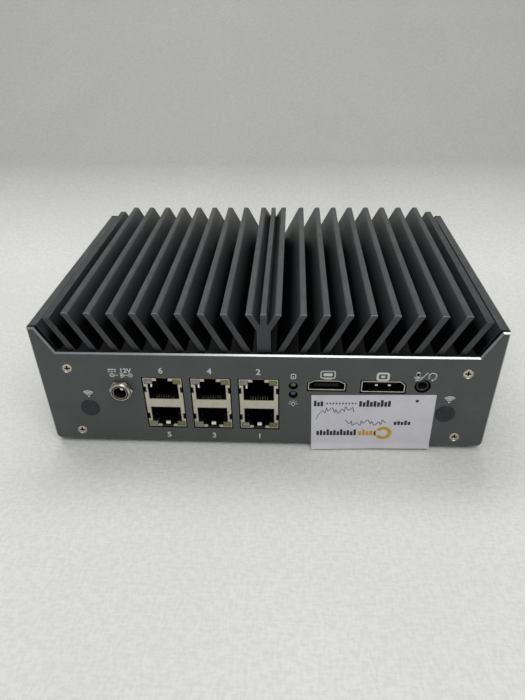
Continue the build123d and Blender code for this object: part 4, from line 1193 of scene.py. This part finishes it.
def studio():
    """A pale sweep of paper that rises behind the object."""
    mesh = bmesh.new()
    back, bend = 0.62, 0.55
    profile = [(-1.6, 0.0), (-0.8, 0.0), (-0.4, 0.0), (0.0, 0.0), (back - bend, 0.0)]
    for step in range(1, 19):
        angle = radians(90 * step / 18)
        profile.append((back - bend + bend * sin(angle), bend * (1 - cos(angle))))
    profile.append((back, 2.2))
    rows = [[mesh.verts.new((x, y, z)) for x in (-2.2, -0.7, 0.0, 0.7, 2.2)] for y, z in profile]
    for first, second in zip(rows, rows[1:]):
        for index in range(len(first) - 1):
            mesh.faces.new((first[index], first[index + 1], second[index + 1], second[index]))
    data = saved(mesh, "backdrop")
    data.shade_smooth()
    data.materials.append(floor_paper())
    backdrop = linked("backdrop", data)


def soft_light(name, place, target, size, power):
    """A soft box that looks at a target."""
    data = bpy.data.lights.new(name, "AREA")
    data.shape = "RECTANGLE"
    data.size, data.size_y = size
    data.energy = power
    data.color = (1.0, 0.99, 0.97)
    lamp = linked(name, data)
    lamp.location = place
    lamp.rotation_euler = (Vector(target) - Vector(place)).to_track_quat("-Z", "Y").to_euler()


def lights():
    """An even room, and two soft boxes: one high behind the case and one in front of it."""
    world = bpy.data.worlds.new("room")
    world.use_nodes = True
    background = world.node_tree.nodes["Background"]
    background.inputs["Color"].default_value = (0.93, 0.95, 1.0, 1.0)
    background.inputs["Strength"].default_value = 0.48
    bpy.context.scene.world = world
    soft_light("overhead", (-0.15, 0.36, 0.92), (0.0, 0.0, 0.0), (0.9, 0.30), 4.5)
    soft_light("front", (0.22, -0.62, 0.95), (0.0, 0.0, 0.02), (0.75, 0.4), 4.4)


def camera():
    """The view of the photograph: a hand-held camera in front of the case and above it."""
    data = bpy.data.cameras.new("camera")
    data.sensor_width = 36.0
    data.lens = 28.84
    data.clip_start = 0.01
    eye = Vector((0.0107, -0.2450, 0.1718))
    yaw, pitch, roll = -0.061, 0.5837, -0.0211
    ahead = cos(pitch)
    forward = Vector((sin(yaw) * ahead, cos(yaw) * ahead, -sin(pitch)))
    level = Vector((cos(yaw), -sin(yaw), 0.0))
    upright = level.cross(forward)
    right = level * cos(roll) + upright * sin(roll)
    up = upright * cos(roll) - level * sin(roll)
    turned = Matrix((right, up, -forward)).transposed().to_4x4()
    holder = linked("camera", data)
    holder.matrix_world = Matrix.Translation(eye) @ turned
    bpy.context.scene.camera = holder


camera()
studio()
lights()
bpy.context.scene.view_settings.view_transform = "Standard"

paint_cad_nodes()
port_numbers()
inlet_marks()
wireless_marks()
light_marks()
video_marks()
audio_marks()
rear_marks()
label_sheet()
label_marks()
panel_screws("front_panel_screws", FORWARD)
panel_screws("rear_panel_screws", BACKWARD)
cover_screws()
shield_springs()
lamp_walls()
all_contacts()
display_springs()
inlet_details()
inlet_nut()
antenna_caps()
feet()
